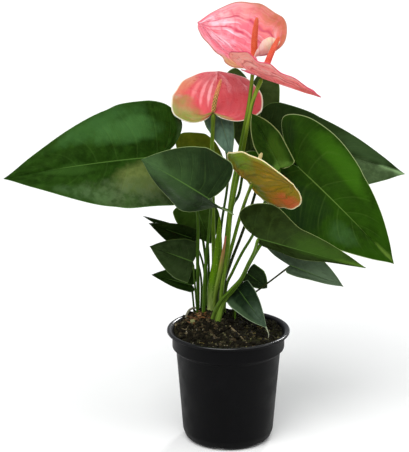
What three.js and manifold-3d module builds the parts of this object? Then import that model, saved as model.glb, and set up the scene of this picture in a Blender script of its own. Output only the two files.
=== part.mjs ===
// Potted anthurium: a nursery pot with soil, seventeen leaves and four flowers, each on a stem of its own.
// Millimetres, +Z up. The origin is the middle of the pot's base, and the plant shows its front towards -Y.
import * as THREE from 'three';
import { mergeVertices } from 'three/addons/utils/BufferGeometryUtils.js';
import Module from 'manifold-3d';

const wasm = await Module();
wasm.setup();

// Driving dimensions
const GAP = 0.3;
const LEAF_THICKNESS = 0.9;
const SPATHE_THICKNESS = 1.1;
const FOOT_DEPTH_Z = 98;
const POT = {
  height: 112,
  wall: 1.5,
  floor: 2,
  baseRadius: 38,
  bevel: 4.2,
  bevelZ: 3.3,
  footRadius: 44.5,
  footHeight: 9.5,
  bodyTopRadius: 51,
  bodyTopZ: 91,
  collarRadius: 54.8,
  collarZ: 94,
  lipRadius: 60,
  lipHeight: 3.2,
  lipEdge: 0.8,
  mouthRadius: 57,
  mouthDepth: 2.5,
  stepRise: 0.6,
  segments: 36,
};
const DRAIN = { count: 6, width: 20, height: 4.5, length: 24, sides: 36, firstDegrees: -104 };
const SOIL = {
  edgeZ: 109,
  moundX: -14,
  moundY: 23,
  moundHeight: 15.5,
  moundSpread: 25,
  lump: 0.9,
  rings: 8,
};

// Heart outline of a half blade: x in half widths, y in lobe lengths behind the stem and blade lengths ahead
const LEAF_OUTLINE = [
  [0, 0], [0.2, -0.62], [0.55, -1], [0.88, -0.62], [1, 0.14],
  [0.88, 0.38], [0.62, 0.62], [0.3, 0.83], [0.08, 0.95], [0, 1],
];
const SPATHE_OUTLINE = [
  [0, 0], [0.2, -0.7], [0.55, -1], [0.9, -0.55], [1.02, 0.14],
  [0.93, 0.42], [0.7, 0.68], [0.36, 0.88], [0.08, 0.97], [0, 1],
];
const RIB_START = 0.3;
const FOLD_TURN_FROM = 0.35;
const SLIM_FULL_AT = 0.35;

// What a blade has unless its entry says otherwise: lengths in mm, folds in degrees, lobe and slim as shares.
// The pairs hold the left and the right half, seen on the upper face with the tip pointing up.
const PLAIN_BLADE = {
  lobe: [0.2, 0.2],
  full: [1, 1],
  slim: [0, 0],
  fold: [8, 8],
  turn: [0, 0],
  arch: 0,
  bow: 0,
  wave: 0,
  waves: 1.5,
  phase: 0,
};

// Leaves: the blade from base to tip, the way its upper face looks, its half widths, and the stem's route
const LEAVES = {
  big_left: {
    blade: {
      base: [-65, -5, 285], tip: [-209, -45, 273], face: [0.1, -0.8, 0.6], half: [52, 58],
      lobe: [0.19, 0.19], full: [1, 1.25], arch: 5, bow: 6, wave: 3,
    },
    stem: {
      foot: [-30, 30], radii: [1.8, 1.5],
      route: [[-29.7, 24, 143.3], [-30, 8, 177], [-30, 3, 226.5], [-36.2, 2, 262.3]],
    },
    detail: 'large',
  },
  mid_left: {
    blade: {
      base: [-20, -72, 261], tip: [-81, -60, 295], face: [0.2, -0.9, 0.4], half: [36, 42],
      lobe: [0.38, 0.12], full: [1, 0.8], fold: [-58, 0], turn: [-45, 0], arch: 4, bow: 3, wave: 1.5,
    },
    stem: {
      foot: [-24.5, 24], radii: [1.8, 1.4],
      route: [[-23.6, 13, 148.9], [-20.9, 4, 190.3], [-18.2, -8, 221.6], [-17.2, -24, 247.4]],
    },
    detail: 'medium',
  },
  olive_back: {
    blade: {
      base: [-43, 45, 272], tip: [-4, 50, 269], face: [0, -0.8, 0.6], half: [26, 20],
      lobe: [0.22, 0.22], full: [0.5, 0.5], fold: [10, 10], wave: 1,
    },
    stem: {
      foot: [-21.5, 30], radii: [1.4, 1.2],
      route: [[-21.3, 32, 140.8], [-22.8, 40, 174.6], [-29.7, 48, 213.4]],
    },
    detail: 'small',
  },
  hanging: {
    blade: {
      base: [-10, 32, 322], tip: [3, 20, 278], face: [0, -0.9, 0.3], half: [12, 16],
      lobe: [0.08, 0.08], fold: [5, 5], wave: 1,
    },
    stem: { foot: [-11, 39.2], route: [[-10, 38, 139], [-7, 50, 198], [0, 55, 257]], radii: [1.4, 1.2] },
    detail: 'small',
  },
  back: {
    blade: {
      base: [23, 97, 331], tip: [21, 84, 261], face: [0, -0.9, 0.3], half: [29, 30],
      lobe: [0.28, 0.28], arch: 2, bow: 2, wave: 1.5,
    },
    stem: {
      foot: [-6.3, 41.5], radii: [1.6, 1.4],
      route: [[-4.3, 45, 147.1], [-0.3, 58, 176.6], [4.3, 72, 214.2], [13.6, 92, 234.1]],
    },
    detail: 'medium',
  },
  far_right: {
    blade: {
      base: [43, 58, 293], tip: [174, 52, 254], face: [0, -0.8, 0.6], half: [29, 50],
      lobe: [0.12, 0.12], full: [1.15, 0.85], arch: 3, bow: 3, wave: 2, phase: 0.3,
    },
    stem: {
      foot: [-5, 35], radii: [1.6, 1.4],
      route: [[-4.4, 37, 141.3], [3, 45, 165.8], [13, 54, 190.2], [23.9, 60, 221.5]],
    },
    detail: 'large',
  },
  big_right: {
    blade: {
      base: [67, 12, 270], tip: [157, -22, 184], face: [0.15, -0.85, 0.5], half: [50, 50],
      lobe: [0.36, 0.36], full: [0.9, 0.9], slim: [0.15, 0], fold: [6, 6],
      arch: 4, bow: 4, wave: 2, phase: 0.6,
    },
    stem: {
      foot: [-15, 7.5], radii: [2, 1.6],
      route: [
        [-5.3, 2.5, 136.4], [4.4, 5, 149.4], [13.2, 10, 160.1],
        [20, 11, 174], [29.6, 13, 190.7], [43, 14, 211.6],
      ],
    },
    detail: 'large',
  },
  front_fold: {
    blade: {
      base: [48, -18, 277], tip: [21, -8, 327], face: [0.1, -0.95, 0.2], half: [13, 15],
      lobe: [0.05, 0.05], full: [0.5, 0.5], fold: [4, 4], wave: 0.8,
    },
    stem: {
      foot: [-4.2, 22.5], radii: [1.6, 1.3],
      route: [[-2.6, 18, 145.3], [4.5, 13, 166.3], [13, 6, 186.7], [24.1, -7, 211.1], [32, -18, 240]],
    },
    detail: 'small',
  },
  low_right_long: {
    blade: {
      base: [27, -42, 215], tip: [124, -84, 199], face: [-0.1, -0.75, 0.65], half: [36, 34],
      lobe: [0.25, 0.05], slim: [0.4, 0], fold: [5, -100], wave: 1.5, phase: 0.2,
    },
    stem: {
      foot: [-19.5, 15.5], radii: [1.6, 1.4],
      route: [[-10.6, 2, 133.5], [1.2, -3, 151], [11.4, -8, 164.7], [18.2, -18, 182.8], [23.5, -28, 197.7]],
    },
    detail: 'medium',
  },
  low_right_dark: {
    blade: {
      base: [60, 5, 174], tip: [111, -5, 156], face: [0, -0.8, 0.6], half: [25, 9],
      lobe: [0.62, 0.05], slim: [0.12, 0.12], wave: 1,
    },
    stem: { foot: [3, 19], route: [[8, 16, 133], [25, 12, 144]], radii: [1, 0.8] },
    detail: 'small',
  },
  small_round: {
    blade: {
      base: [20, 25, 157], tip: [38, 12, 148], face: [0, -0.9, 0.4], half: [11, 6],
      lobe: [0.02, 0.02], full: [0.5, 0.5],
    },
    stem: { foot: [3, 25], route: [[7, 26, 136]], radii: [0.9, 0.8] },
    detail: 'tiny',
  },
  over_soil: {
    blade: {
      base: [9, 14, 148.4], tip: [38, -36, 116], face: [0, -0.9, 0.4], half: [8, 15],
      lobe: [0.02, 0.02], wave: 0.8,
    },
    stem: { foot: [6, 13], route: [[7.5, 12.5, 138]], radii: [1, 0.9] },
    detail: 'small',
  },
  left_thin: {
    blade: {
      base: [-35, 50, 191.7], tip: [-85, 62, 208.7], face: [0, -0.8, 0.6], half: [10, 6],
      lobe: [0.15, 0.15], slim: [0.3, 0.3],
    },
    stem: { foot: [-25, 38], route: [[-23.3, 43, 142.5], [-25.3, 46, 165.5]], radii: [1.2, 1] },
    detail: 'tiny',
  },
  left_dark: {
    blade: {
      base: [-36, 30, 195], tip: [-78, 30, 210], face: [0, -0.8, 0.6], half: [16, 10],
      lobe: [0.2, 0.2], wave: 0.8,
    },
    stem: {
      foot: [-27.5, 34.5], radii: [1.2, 1],
      route: [[-26.3, 33, 145.7], [-29.9, 31, 170.1], [-34.1, 31, 186.5]],
    },
    detail: 'small',
  },
  left_mid: {
    blade: {
      base: [-34.5, 10, 176.7], tip: [-76, -4, 196.4], face: [0, -0.9, 0.4], half: [22, 19],
      lobe: [0.02, 0.02], full: [0.95, 0.9], fold: [4, 4], wave: 0.8,
    },
    stem: { foot: [-28.5, 25], route: [[-31.7, 19, 137.7]], radii: [1.1, 0.9] },
    detail: 'small',
  },
  left_low: {
    blade: {
      base: [-36, 28, 147], tip: [-76, 34, 156], face: [0, -0.8, 0.6], half: [8, 17],
      lobe: [0.1, 0.1], wave: 0.6,
    },
    stem: { foot: [-32, 34.5], route: [[-34.7, 31, 131.8]], radii: [1.1, 0.9] },
    detail: 'tiny',
  },
  centre_back: {
    blade: {
      base: [-33, 44, 226], tip: [-17, 37, 187], face: [0, -0.9, 0.4], half: [19, 24],
      lobe: [0.1, 0.1], full: [0.6, 1], wave: 1,
    },
    stem: {
      foot: [-20, 38.5], radii: [1.3, 1.1],
      route: [[-19, 39, 140], [-20, 44, 185], [-25.5, 45.5, 211]],
    },
    detail: 'small',
  },
};

// Flowers: the spathe as a blade, the spadix as the way it points, its length and radius, and the stalk
const FLOWERS = {
  top: {
    blade: {
      base: [23, 5, 379], tip: [-30, 50, 404], face: [-0.27, -0.66, 0.51], half: [41, 45],
      lobe: [0.24, 0.24], full: [1.4, 0.7], slim: [0.2, 0], fold: [45, 0], arch: -3, wave: 1.5, waves: 2.5,
    },
    spadix: { towards: [0.05, -0.35, 0.94], length: 41, radius: 2.9 },
    stem: {
      foot: [-8.5, 28], radii: [2.6, 2],
      route: [[-6.6, 24.5, 145], [2, 8, 239], [10, 0, 288], [19, -2, 339]],
    },
    colour: 0xe8848c,
    spadixColour: 0xe0552f,
  },
  right: {
    blade: {
      base: [29, -45, 368], tip: [81, -68, 354], face: [0.4, 0.24, 0.87], half: [46, 46],
      lobe: [0.5, 0.5], fold: [8, 7], turn: [0, 8], wave: 1.5, waves: 2.5,
    },
    spadix: { towards: [0.38, 0.05, 0.92], length: 40, radius: 2.8 },
    stem: {
      foot: [-6.8, 16], radii: [2.6, 2],
      route: [[-6.6, 9, 146.1], [-1.2, -1, 191.7], [1.9, -10, 233], [12, -22, 292], [20, -38, 341]],
    },
    colour: 0xe0606a,
    spadixColour: 0xe2463f,
  },
  left: {
    blade: {
      base: [-15, 20, 323], tip: [-9, 87, 350], face: [0, -0.4, 0.92], half: [40, 46],
      lobe: [0.215, 0.16], full: [1.2, 1.2], fold: [4, 4], bow: 6, wave: 1.5, waves: 2.5,
    },
    spadix: { towards: [0.2, -0.35, 0.92], length: 37, radius: 2.9 },
    stem: { foot: [-15.5, 36.5], route: [[-14, 33, 142], [-15, 26, 223], [-16, 20, 281]], radii: [2.6, 2.2] },
    colour: 0xe05a68,
    spadixColour: 0xe89a4a,
  },
  back_view: {
    blade: {
      base: [21, -38, 267], tip: [57, -84, 277], face: [0.56, 0.5, 0.67], half: [40, 40],
      lobe: [0.2, 0.2], full: [0.8, 0.8], fold: [5, 5], wave: 1.5, waves: 2.5,
    },
    spadix: { towards: [0.3, 0.3, 0.9], length: 30, radius: 2.4 },
    stem: { foot: [-8.8, 21], route: [[-6.3, 15.4, 148], [7, 8, 208], [15, -8, 241]], radii: [2, 1.6] },
    colour: 0xb99a3c,
    spadixColour: 0xd9cf8a,
  },
};

// Sheaths round the young stems, the stub of a cut stem and a root that lies in the soil
const RODS = {
  sheath_centre: {
    route: [
      [-16, 25, 98], [-15.5, 21.5, 130.7], [-14.6, 19, 147],
      [-11.5, 13.5, 172.3], [-9.6, 10, 196.6], [-8.8, 8, 223.2],
    ],
    radii: [3, 5.2, 5.9, 5, 3, 0.8],
    sides: 10,
    finish: 'sheath',
  },
  sheath_pink: {
    route: [[-12, 17.5, 98], [-13.4, 11, 137.2], [-7.8, -0.5, 173.5], [-2.8, -9.5, 209.1]],
    radii: [1.1, 1.5, 2.3, 0.5],
    sides: 6,
    finish: 'sheathPink',
  },
  stub: {
    route: [[-34, 12, 104], [-34.5, 10.5, 111], [-35, 9, 117.5]],
    radii: [2, 2.3, 2.6],
    sides: 8,
    finish: 'stub',
  },
  root: {
    route: [[-1, 5, 116], [2, -1, 113.4], [10, -16, 110.4], [18, -41, 109.8]],
    radii: [1.1, 1, 0.8, 0.6],
    sides: 6,
    finish: 'root',
  },
};

// Stations along the margin and strips from the midrib to the margin
const DETAIL = {
  large: { stations: 16, strips: 3 },
  medium: { stations: 14, strips: 3 },
  small: { stations: 11, strips: 2 },
  tiny: { stations: 9, strips: 2 },
  spathe: { stations: 16, strips: 3 },
};
const STEM_STEP = 16;
const SOCKET_STEPS = 2;
const STEM_SIDES = 6;
const STALK_SIDES = 8;
const ROD_STEPS = 9;
const COLLAR_LENGTH = 9;
const SPADIX = { sides: 10, steps: 16, bump: 1.08, dip: 0.96, tip: 0.35, taper: [1, 1, 0.95, 0.85, 0.6] };

const FINISH = {
  pot: { color: 0x1c1c1e, roughness: 0.5, metalness: 0 },
  soil: { color: 0x2c2118, roughness: 0.95, metalness: 0 },
  leaf: { color: 0x2f6a2c, roughness: 0.35, metalness: 0 },
  stem: { color: 0x5d8a34, roughness: 0.5, metalness: 0 },
  sheath: { color: 0x84a03e, roughness: 0.6, metalness: 0 },
  sheathPink: { color: 0x9a5b4a, roughness: 0.6, metalness: 0 },
  stub: { color: 0x7a7238, roughness: 0.7, metalness: 0 },
  root: { color: 0x9a8a62, roughness: 0.8, metalness: 0 },
};

/** Vector from an array of three numbers. */
const vector = (values) => new THREE.Vector3(...values);

/** Small repeatable random numbers between 0 and 1. */
function seeded(seed) {
  let state = seed;
  return () => {
    state = (state * 1664525 + 1013904223) % 4294967296;
    return state / 4294967296;
  };
}

/** A closed geometry as a manifold solid. */
function solid(geometry) {
  const plain = geometry.clone();
  plain.deleteAttribute('normal');
  plain.deleteAttribute('uv');
  const merged = mergeVertices(plain, 1e-4);
  return new wasm.Manifold(new wasm.Mesh({
    numProp: 3,
    vertProperties: Float32Array.from(merged.attributes.position.array),
    triVerts: Uint32Array.from(merged.index.array),
  }));
}

/** A manifold solid as a geometry. */
function geometryOf(body) {
  const mesh = body.getMesh();
  const geometry = new THREE.BufferGeometry();
  geometry.setAttribute('position', new THREE.BufferAttribute(Float32Array.from(mesh.vertProperties), 3));
  geometry.setIndex(new THREE.BufferAttribute(Uint32Array.from(mesh.triVerts), 1));
  geometry.computeVertexNormals();
  return geometry;
}

/** The largest of the separate pieces of a solid. */
function largest(body) {
  return body.decompose().reduce((most, piece) => (piece.volume() > most.volume() ? piece : most));
}

/** Geometry from a list of points and a list of triangles. */
function facets(points, faces) {
  const geometry = new THREE.BufferGeometry();
  const places = points.flatMap(({ x, y, z }) => [x, y, z]);
  geometry.setAttribute('position', new THREE.Float32BufferAttribute(places, 3));
  geometry.setIndex(faces.flat());
  return geometry;
}

/** Value at share t of a list of evenly spaced values. */
function along(values, t) {
  const place = t * (values.length - 1);
  const low = Math.min(Math.floor(place), values.length - 2);
  return THREE.MathUtils.lerp(values[low], values[low + 1], place - low);
}

/**
 * Closed round rod along a smooth curve. `relief` scales the radius by place along and around,
 * `first` leaves out the rings before it, `grow` widens it, and `reach` lengthens both ends.
 */
function rod(spec) {
  const { route, radii, sides, steps, relief = () => 1, first = 0, last = steps, grow = 0, reach = 0 } = spec;
  const curve = new THREE.CatmullRomCurve3(route.map(vector), false, 'catmullrom', 0.5);
  const frames = curve.computeFrenetFrames(steps, false);
  const points = [];
  const faces = [];
  for (let ring = first; ring <= last; ring += 1) {
    const middle = curve.getPointAt(ring / steps);
    if (ring === first) middle.addScaledVector(frames.tangents[ring], -reach);
    if (ring === last) middle.addScaledVector(frames.tangents[ring], reach);
    for (let side = 0; side < sides; side += 1) {
      const turn = (side / sides) * 2 * Math.PI;
      const radius = along(radii, ring / steps) * relief(ring, side) + grow;
      const point = middle.clone();
      point.addScaledVector(frames.normals[ring], radius * Math.cos(turn));
      point.addScaledVector(frames.binormals[ring], radius * Math.sin(turn));
      points.push(point);
    }
  }
  const rings = last - first;
  for (let ring = 0; ring < rings; ring += 1) {
    for (let side = 0; side < sides; side += 1) {
      const next = (side + 1) % sides;
      const a = ring * sides + side;
      const b = ring * sides + next;
      faces.push([a, b, b + sides], [a, b + sides, a + sides]);
    }
  }
  for (let side = 1; side < sides - 1; side += 1) {
    faces.push([0, side + 1, side]);
    faces.push([rings * sides, rings * sides + side, rings * sides + side + 1]);
  }
  return facets(points, faces);
}

/** Place of a blade's axes: along the midrib, across it and up from its upper face. */
function bladeAxes(blade) {
  const base = vector(blade.base);
  const alongRib = vector(blade.tip).sub(base);
  const length = alongRib.length();
  alongRib.normalize();
  const up = vector(blade.face);
  up.addScaledVector(alongRib, -up.dot(alongRib)).normalize();
  const across = new THREE.Vector3().crossVectors(alongRib, up);
  return { base, alongRib, up, across, length };
}

/** Point of the blade's middle surface: side 0 is left and 1 right, x is out from the midrib, y along it. */
function bladePoint(blade, axes, side, x, y) {
  const share = y / axes.length;
  const out = x / blade.half[side];
  const turned = THREE.MathUtils.smoothstep(FOLD_TURN_FROM - share, 0, 2 * FOLD_TURN_FROM);
  const fold = THREE.MathUtils.degToRad(blade.fold[side] + blade.turn[side] * turned);
  const swing = 2 * Math.PI * (blade.waves * share + blade.phase + side / 2);
  const rise = (blade.wave * Math.sin(swing) - blade.arch) * out * out;
  const bow = 4 * blade.bow * share * (1 - Math.max(share, 0));
  const sideways = (side ? 1 : -1) * (x * Math.cos(fold) - rise * Math.sin(fold));
  const height = x * Math.sin(fold) + rise * Math.cos(fold) + bow;
  const point = axes.base.clone();
  point.addScaledVector(axes.across, sideways);
  point.addScaledVector(axes.alongRib, y);
  point.addScaledVector(axes.up, height);
  return point;
}

/** Closed thin blade, with the same triangles on both faces. */
function bladeGeometry(own, outline, thickness, { stations, strips }) {
  const blade = { ...PLAIN_BLADE, ...own };
  const axes = bladeAxes(blade);
  const curve = new THREE.SplineCurve(outline.map(([x, y]) => new THREE.Vector2(x, y)));
  const points = [];
  const faces = [];
  const add = (side, x, y) => points.push(bladePoint(blade, axes, side, x, y)) - 1;
  const base = add(0, 0, 0);
  const tip = add(0, 0, axes.length);
  const rib = [];
  for (let station = 0; station < stations; station += 1) {
    const y = axes.length * Math.max(0, (station / stations - RIB_START) / (1 - RIB_START));
    rib.push({ y, id: y > 0 ? add(0, 0, y) : base });
  }
  const grid = [0, 1].map((side) => rib.map(({ y: ribY, id }, station) => {
    const { x, y } = curve.getPoint(station / stations);
    const slim = 1 - blade.slim[side] * THREE.MathUtils.smoothstep(y, 0, SLIM_FULL_AT);
    const edgeX = x * slim * blade.half[side];
    const edgeY = axes.length * (y < 0 ? y * blade.lobe[side] : y ** blade.full[side]);
    const row = [id];
    for (let strip = 1; strip <= strips; strip += 1) {
      const out = strip / strips;
      row.push(station === 0 ? base : add(side, edgeX * out, THREE.MathUtils.lerp(ribY, edgeY, out)));
    }
    return row;
  }).concat([Array(strips + 1).fill(tip)]));
  grid.forEach((rows, side) => {
    for (let station = 1; station < stations; station += 1) {
      for (let strip = 0; strip < strips; strip += 1) {
        const a = rows[station][strip];
        const b = rows[station + 1][strip];
        const c = rows[station + 1][strip + 1];
        const d = rows[station][strip + 1];
        const pair = [[a, b, c], [a, c, d]].filter((f) => new Set(f).size === 3);
        faces.push(...pair.map((f) => (side ? f.toReversed() : f)));
      }
    }
  });
  const edge = grid.map((rows) => [...rows[1], ...rows.slice(2, stations).map((row) => row[strips])]);
  const loop = [...edge[1], tip, ...edge[0].slice(1).toReversed()];
  return thicken(points, faces, loop, thickness);
}

/** Solid sheet: the middle surface moved out to both faces and closed along its loop of edge points. */
function thicken(points, faces, loop, thickness) {
  const middle = facets(points, faces);
  middle.computeVertexNormals();
  const normal = middle.attributes.normal;
  const shifted = (distance) => points.map((point, i) => (
    point.clone().addScaledVector(new THREE.Vector3().fromBufferAttribute(normal, i), distance)
  ));
  const lower = points.length;
  const closed = faces.flatMap(([a, b, c]) => [[a, b, c], [a + lower, c + lower, b + lower]]);
  loop.forEach((a, i) => {
    const b = loop[(i + 1) % loop.length];
    closed.push([a, a + lower, b + lower], [a, b + lower, b]);
  });
  return facets([...shifted(thickness / 2), ...shifted(-thickness / 2)], closed);
}

/** Stem as a rod from its foot in the soil to the blade's base, with how many steps it takes. */
function stemRod(blade, stem, sides) {
  const route = [[...stem.foot, FOOT_DEPTH_Z], ...stem.route, blade.base];
  const length = new THREE.CatmullRomCurve3(route.map(vector), false, 'catmullrom', 0.5).getLength();
  return { route, radii: stem.radii, sides, steps: Math.ceil(length / STEM_STEP), length };
}

/** The upper end of a rod, wider by the gap, for cutting the blade that it carries. */
function collar(spec) {
  const first = Math.floor(spec.steps * (1 - COLLAR_LENGTH / spec.length));
  return solid(rod({ ...spec, first, grow: GAP, reach: GAP }));
}

/** The lower end of a rod, wider by the gap, for the hole that it stands in. */
function socket(spec) {
  return solid(rod({ ...spec, last: Math.min(SOCKET_STEPS, spec.steps), grow: GAP, reach: GAP }));
}

/** Mesh of one named piece. */
function piece(name, geometry, finish) {
  const mesh = new THREE.Mesh(geometry, new THREE.MeshStandardMaterial(finish));
  mesh.name = name;
  return mesh;
}

/** Inside of the pot's wall from the collar down to the floor, drawn in by a clearance. */
function insideWall(clearance) {
  const inset = POT.wall + clearance;
  const rise = POT.stepRise + 2 * clearance;
  return [
    [POT.collarRadius - inset, POT.collarZ + rise],
    [POT.bodyTopRadius - inset, POT.bodyTopZ + rise],
    [POT.footRadius - inset, POT.footHeight + rise],
    [POT.baseRadius + POT.bevel - inset, POT.bevelZ + rise],
    [POT.baseRadius - clearance, POT.floor + clearance],
  ];
}

/** Nursery pot with a rolled lip, a collar, a bevelled foot and drain notches round the base. */
function pot() {
  const { height, lipRadius, lipEdge } = POT;
  const underLip = height - POT.lipHeight;
  const outside = [
    [0, 0],
    [POT.baseRadius, 0],
    [POT.baseRadius + POT.bevel, POT.bevelZ],
    [POT.footRadius, POT.footHeight],
    [POT.bodyTopRadius, POT.bodyTopZ],
    [POT.collarRadius, POT.collarZ],
    [POT.collarRadius, underLip],
    [lipRadius - lipEdge, underLip],
    [lipRadius, underLip + lipEdge],
    [lipRadius, height - lipEdge],
    [lipRadius - lipEdge, height],
  ];
  const mouth = [
    [POT.mouthRadius, height],
    [POT.collarRadius - POT.wall, height - POT.mouthDepth],
  ];
  const profile = [...outside, ...mouth, ...insideWall(0), [0, POT.floor]];
  const turned = profile.map(([radius, z]) => new THREE.Vector2(radius, z));
  const shell = new THREE.LatheGeometry(turned, POT.segments).rotateX(Math.PI / 2);
  return piece('pot', geometryOf(solid(shell).subtract(drainCutter())), FINISH.pot);
}

/** Low arches that cut the foot of the pot, one for each drain notch. */
function drainCutter() {
  const radius = (DRAIN.width ** 2 / 4 + DRAIN.height ** 2) / (2 * DRAIN.height);
  const arches = [];
  for (let i = 0; i < DRAIN.count; i += 1) {
    const arch = new THREE.CylinderGeometry(radius, radius, DRAIN.length, DRAIN.sides).rotateZ(Math.PI / 2);
    arch.translate(POT.baseRadius + POT.bevel, 0, DRAIN.height - radius);
    arch.rotateZ(THREE.MathUtils.degToRad(DRAIN.firstDegrees + (360 / DRAIN.count) * i));
    arches.push(solid(arch));
  }
  return wasm.Manifold.union(arches);
}

/** Height of the soil at a place, with its mound round the stems. */
function soilHeight(x, y, lump) {
  const spread = ((x - SOIL.moundX) ** 2 + (y - SOIL.moundY) ** 2) / SOIL.moundSpread ** 2;
  return SOIL.edgeZ + SOIL.moundHeight * Math.exp(-spread) + lump;
}

/** Soil that fills the pot, lumpy on top, with a plain hole for every stem. */
function soil(sockets) {
  const random = seeded(7);
  const { segments } = POT;
  const side = insideWall(GAP);
  const [[rim]] = side;
  const lowest = POT.floor + GAP;
  const points = [new THREE.Vector3(0, 0, soilHeight(0, 0, 0))];
  const ring = (radius, heightAt) => {
    for (let i = 0; i < segments; i += 1) {
      const turn = (i / segments) * 2 * Math.PI;
      const x = radius * Math.cos(turn);
      const y = radius * Math.sin(turn);
      points.push(new THREE.Vector3(x, y, heightAt(x, y)));
    }
  };
  for (let i = 1; i <= SOIL.rings; i += 1) {
    ring((rim * i) / SOIL.rings, (x, y) => soilHeight(x, y, SOIL.lump * (2 * random() - 1)));
  }
  side.forEach(([radius, z]) => ring(radius, () => z));
  const last = points.push(new THREE.Vector3(0, 0, lowest)) - 1;
  const rings = SOIL.rings + side.length;
  const faces = [];
  for (let i = 0; i < segments; i += 1) {
    const next = (i + 1) % segments;
    faces.push([0, 1 + i, 1 + next]);
    for (let r = 0; r < rings - 1; r += 1) {
      const a = 1 + r * segments;
      faces.push([a + i, a + segments + i, a + segments + next], [a + i, a + segments + next, a + next]);
    }
    const a = 1 + (rings - 1) * segments;
    faces.push([a + i, last, a + next]);
  }
  const body = solid(facets(points, faces)).subtract(wasm.Manifold.union(sockets));
  return piece('soil', geometryOf(largest(body)), FINISH.soil);
}

/** Blade and stem of every leaf. */
function leaves() {
  return Object.entries(LEAVES).flatMap(([name, { blade, stem, detail }]) => {
    const spec = stemRod(blade, stem, STEM_SIDES);
    const sheet = solid(bladeGeometry(blade, LEAF_OUTLINE, LEAF_THICKNESS, DETAIL[detail]));
    const cut = largest(sheet.subtract(collar(spec)));
    return [
      { mesh: piece(`leaf_${name}_blade`, geometryOf(cut), FINISH.leaf) },
      { mesh: piece(`leaf_${name}_petiole`, rod(spec), FINISH.stem), socket: socket(spec) },
    ];
  });
}

/** Spadix as a rod with its florets as a raised and sunk net. */
function spadixRod(base, { towards, length, radius }) {
  const { sides, steps, bump, dip, tip, taper } = SPADIX;
  const end = vector(base).addScaledVector(vector(towards).normalize(), length);
  const route = [base, vector(base).lerp(end, 0.5).toArray(), end.toArray()];
  const relief = (ring, side) => (ring === steps ? tip : [dip, bump][(ring + side) % 2]);
  return { route, radii: taper.map((share) => share * radius), sides, steps, relief };
}

/** Spathe, spadix and stalk of every flower. */
function flowers() {
  return Object.entries(FLOWERS).flatMap(([name, { blade, spadix, stem, colour, spadixColour }]) => {
    const stalk = stemRod(blade, stem, STALK_SIDES);
    const rodSpec = spadixRod(blade.base, spadix);
    const stalkCut = collar(stalk);
    const spadixCut = solid(rod({ ...rodSpec, grow: GAP, reach: GAP, relief: () => SPADIX.bump }));
    const sheet = solid(bladeGeometry(blade, SPATHE_OUTLINE, SPATHE_THICKNESS, DETAIL.spathe));
    const spathe = largest(sheet.subtract(stalkCut).subtract(spadixCut));
    const spike = largest(solid(rod(rodSpec)).subtract(stalkCut));
    return [
      { mesh: piece(`flower_${name}_spathe`, geometryOf(spathe), { ...FINISH.leaf, color: colour }) },
      { mesh: piece(`flower_${name}_spadix`, geometryOf(spike), { ...FINISH.stem, color: spadixColour }) },
      { mesh: piece(`flower_${name}_peduncle`, rod(stalk), FINISH.stem), socket: socket(stalk) },
    ];
  });
}

/** Sheaths, stub and root, each in its own hollow of the soil. */
function rods() {
  return Object.entries(RODS).map(([name, { finish, ...shape }]) => {
    const spec = { ...shape, steps: ROD_STEPS };
    const hollow = solid(rod({ ...spec, grow: GAP, reach: GAP }));
    return { mesh: piece(name, rod(spec), FINISH[finish]), socket: hollow };
  });
}

const plant = [...leaves(), ...flowers(), ...rods()];
const anthurium = new THREE.Group();
anthurium.name = 'potted_anthurium';
anthurium.add(pot(), soil(plant.filter((entry) => entry.socket).map((entry) => entry.socket)));
plant.forEach((entry) => anthurium.add(entry.mesh));

export default anthurium;
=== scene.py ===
"""Flowering anthurium in a round nursery pot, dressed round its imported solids."""

import logging
import math
import random
from collections.abc import Callable, Sequence
from dataclasses import dataclass
from enum import Enum

import bpy
import numpy as np
from mathutils import Matrix, Vector, noise


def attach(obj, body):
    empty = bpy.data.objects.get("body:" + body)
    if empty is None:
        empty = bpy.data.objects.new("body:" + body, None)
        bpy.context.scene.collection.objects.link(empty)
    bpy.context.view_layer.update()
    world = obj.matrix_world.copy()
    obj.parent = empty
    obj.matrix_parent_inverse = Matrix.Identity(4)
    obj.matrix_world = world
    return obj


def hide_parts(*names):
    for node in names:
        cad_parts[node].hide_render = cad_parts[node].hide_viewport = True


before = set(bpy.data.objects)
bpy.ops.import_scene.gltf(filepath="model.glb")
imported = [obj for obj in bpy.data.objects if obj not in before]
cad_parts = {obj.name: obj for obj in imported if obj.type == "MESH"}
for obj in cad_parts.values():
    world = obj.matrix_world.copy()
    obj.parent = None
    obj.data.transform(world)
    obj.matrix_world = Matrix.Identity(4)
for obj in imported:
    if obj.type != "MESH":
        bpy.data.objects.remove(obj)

LOG = logging.getLogger("anthurium")
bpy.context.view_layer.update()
MM = 0.001
MERGE_MM = 0.004
Triple = tuple[float, float, float]
Pair = tuple[float, float]
Array = np.ndarray
Piece = bpy.types.Object
Finish = bpy.types.Material
Socket = bpy.types.NodeSocket


def linear(colour: int) -> tuple[float, float, float, float]:
    """An sRGB hex colour as linear red, green, blue and alpha."""
    parts = [((colour >> shift) & 255) / 255 for shift in (16, 8, 0)]
    red, green, blue = (c / 12.92 if c <= 0.04045 else ((c + 0.055) / 1.055) ** 2.4 for c in parts)
    return red, green, blue, 1.0


def per_mm(size: float) -> float:
    """Texture scale that makes a pattern's features about size millimetres wide."""
    return 1 / (size * MM)


def smooth_step(x: Array, low: float, high: float) -> Array:
    """Rises smoothly from 0 at low to 1 at high."""
    share = np.clip((x - low) / (high - low), 0, 1)
    return share * share * (3 - 2 * share)


# Modelling


def pick(*pieces: Piece) -> None:
    """Selects some pieces and nothing else, with the first one active."""
    bpy.ops.object.select_all(action="DESELECT")
    for piece in pieces:
        piece.select_set(True)
    bpy.context.view_layer.objects.active = pieces[0]


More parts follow.
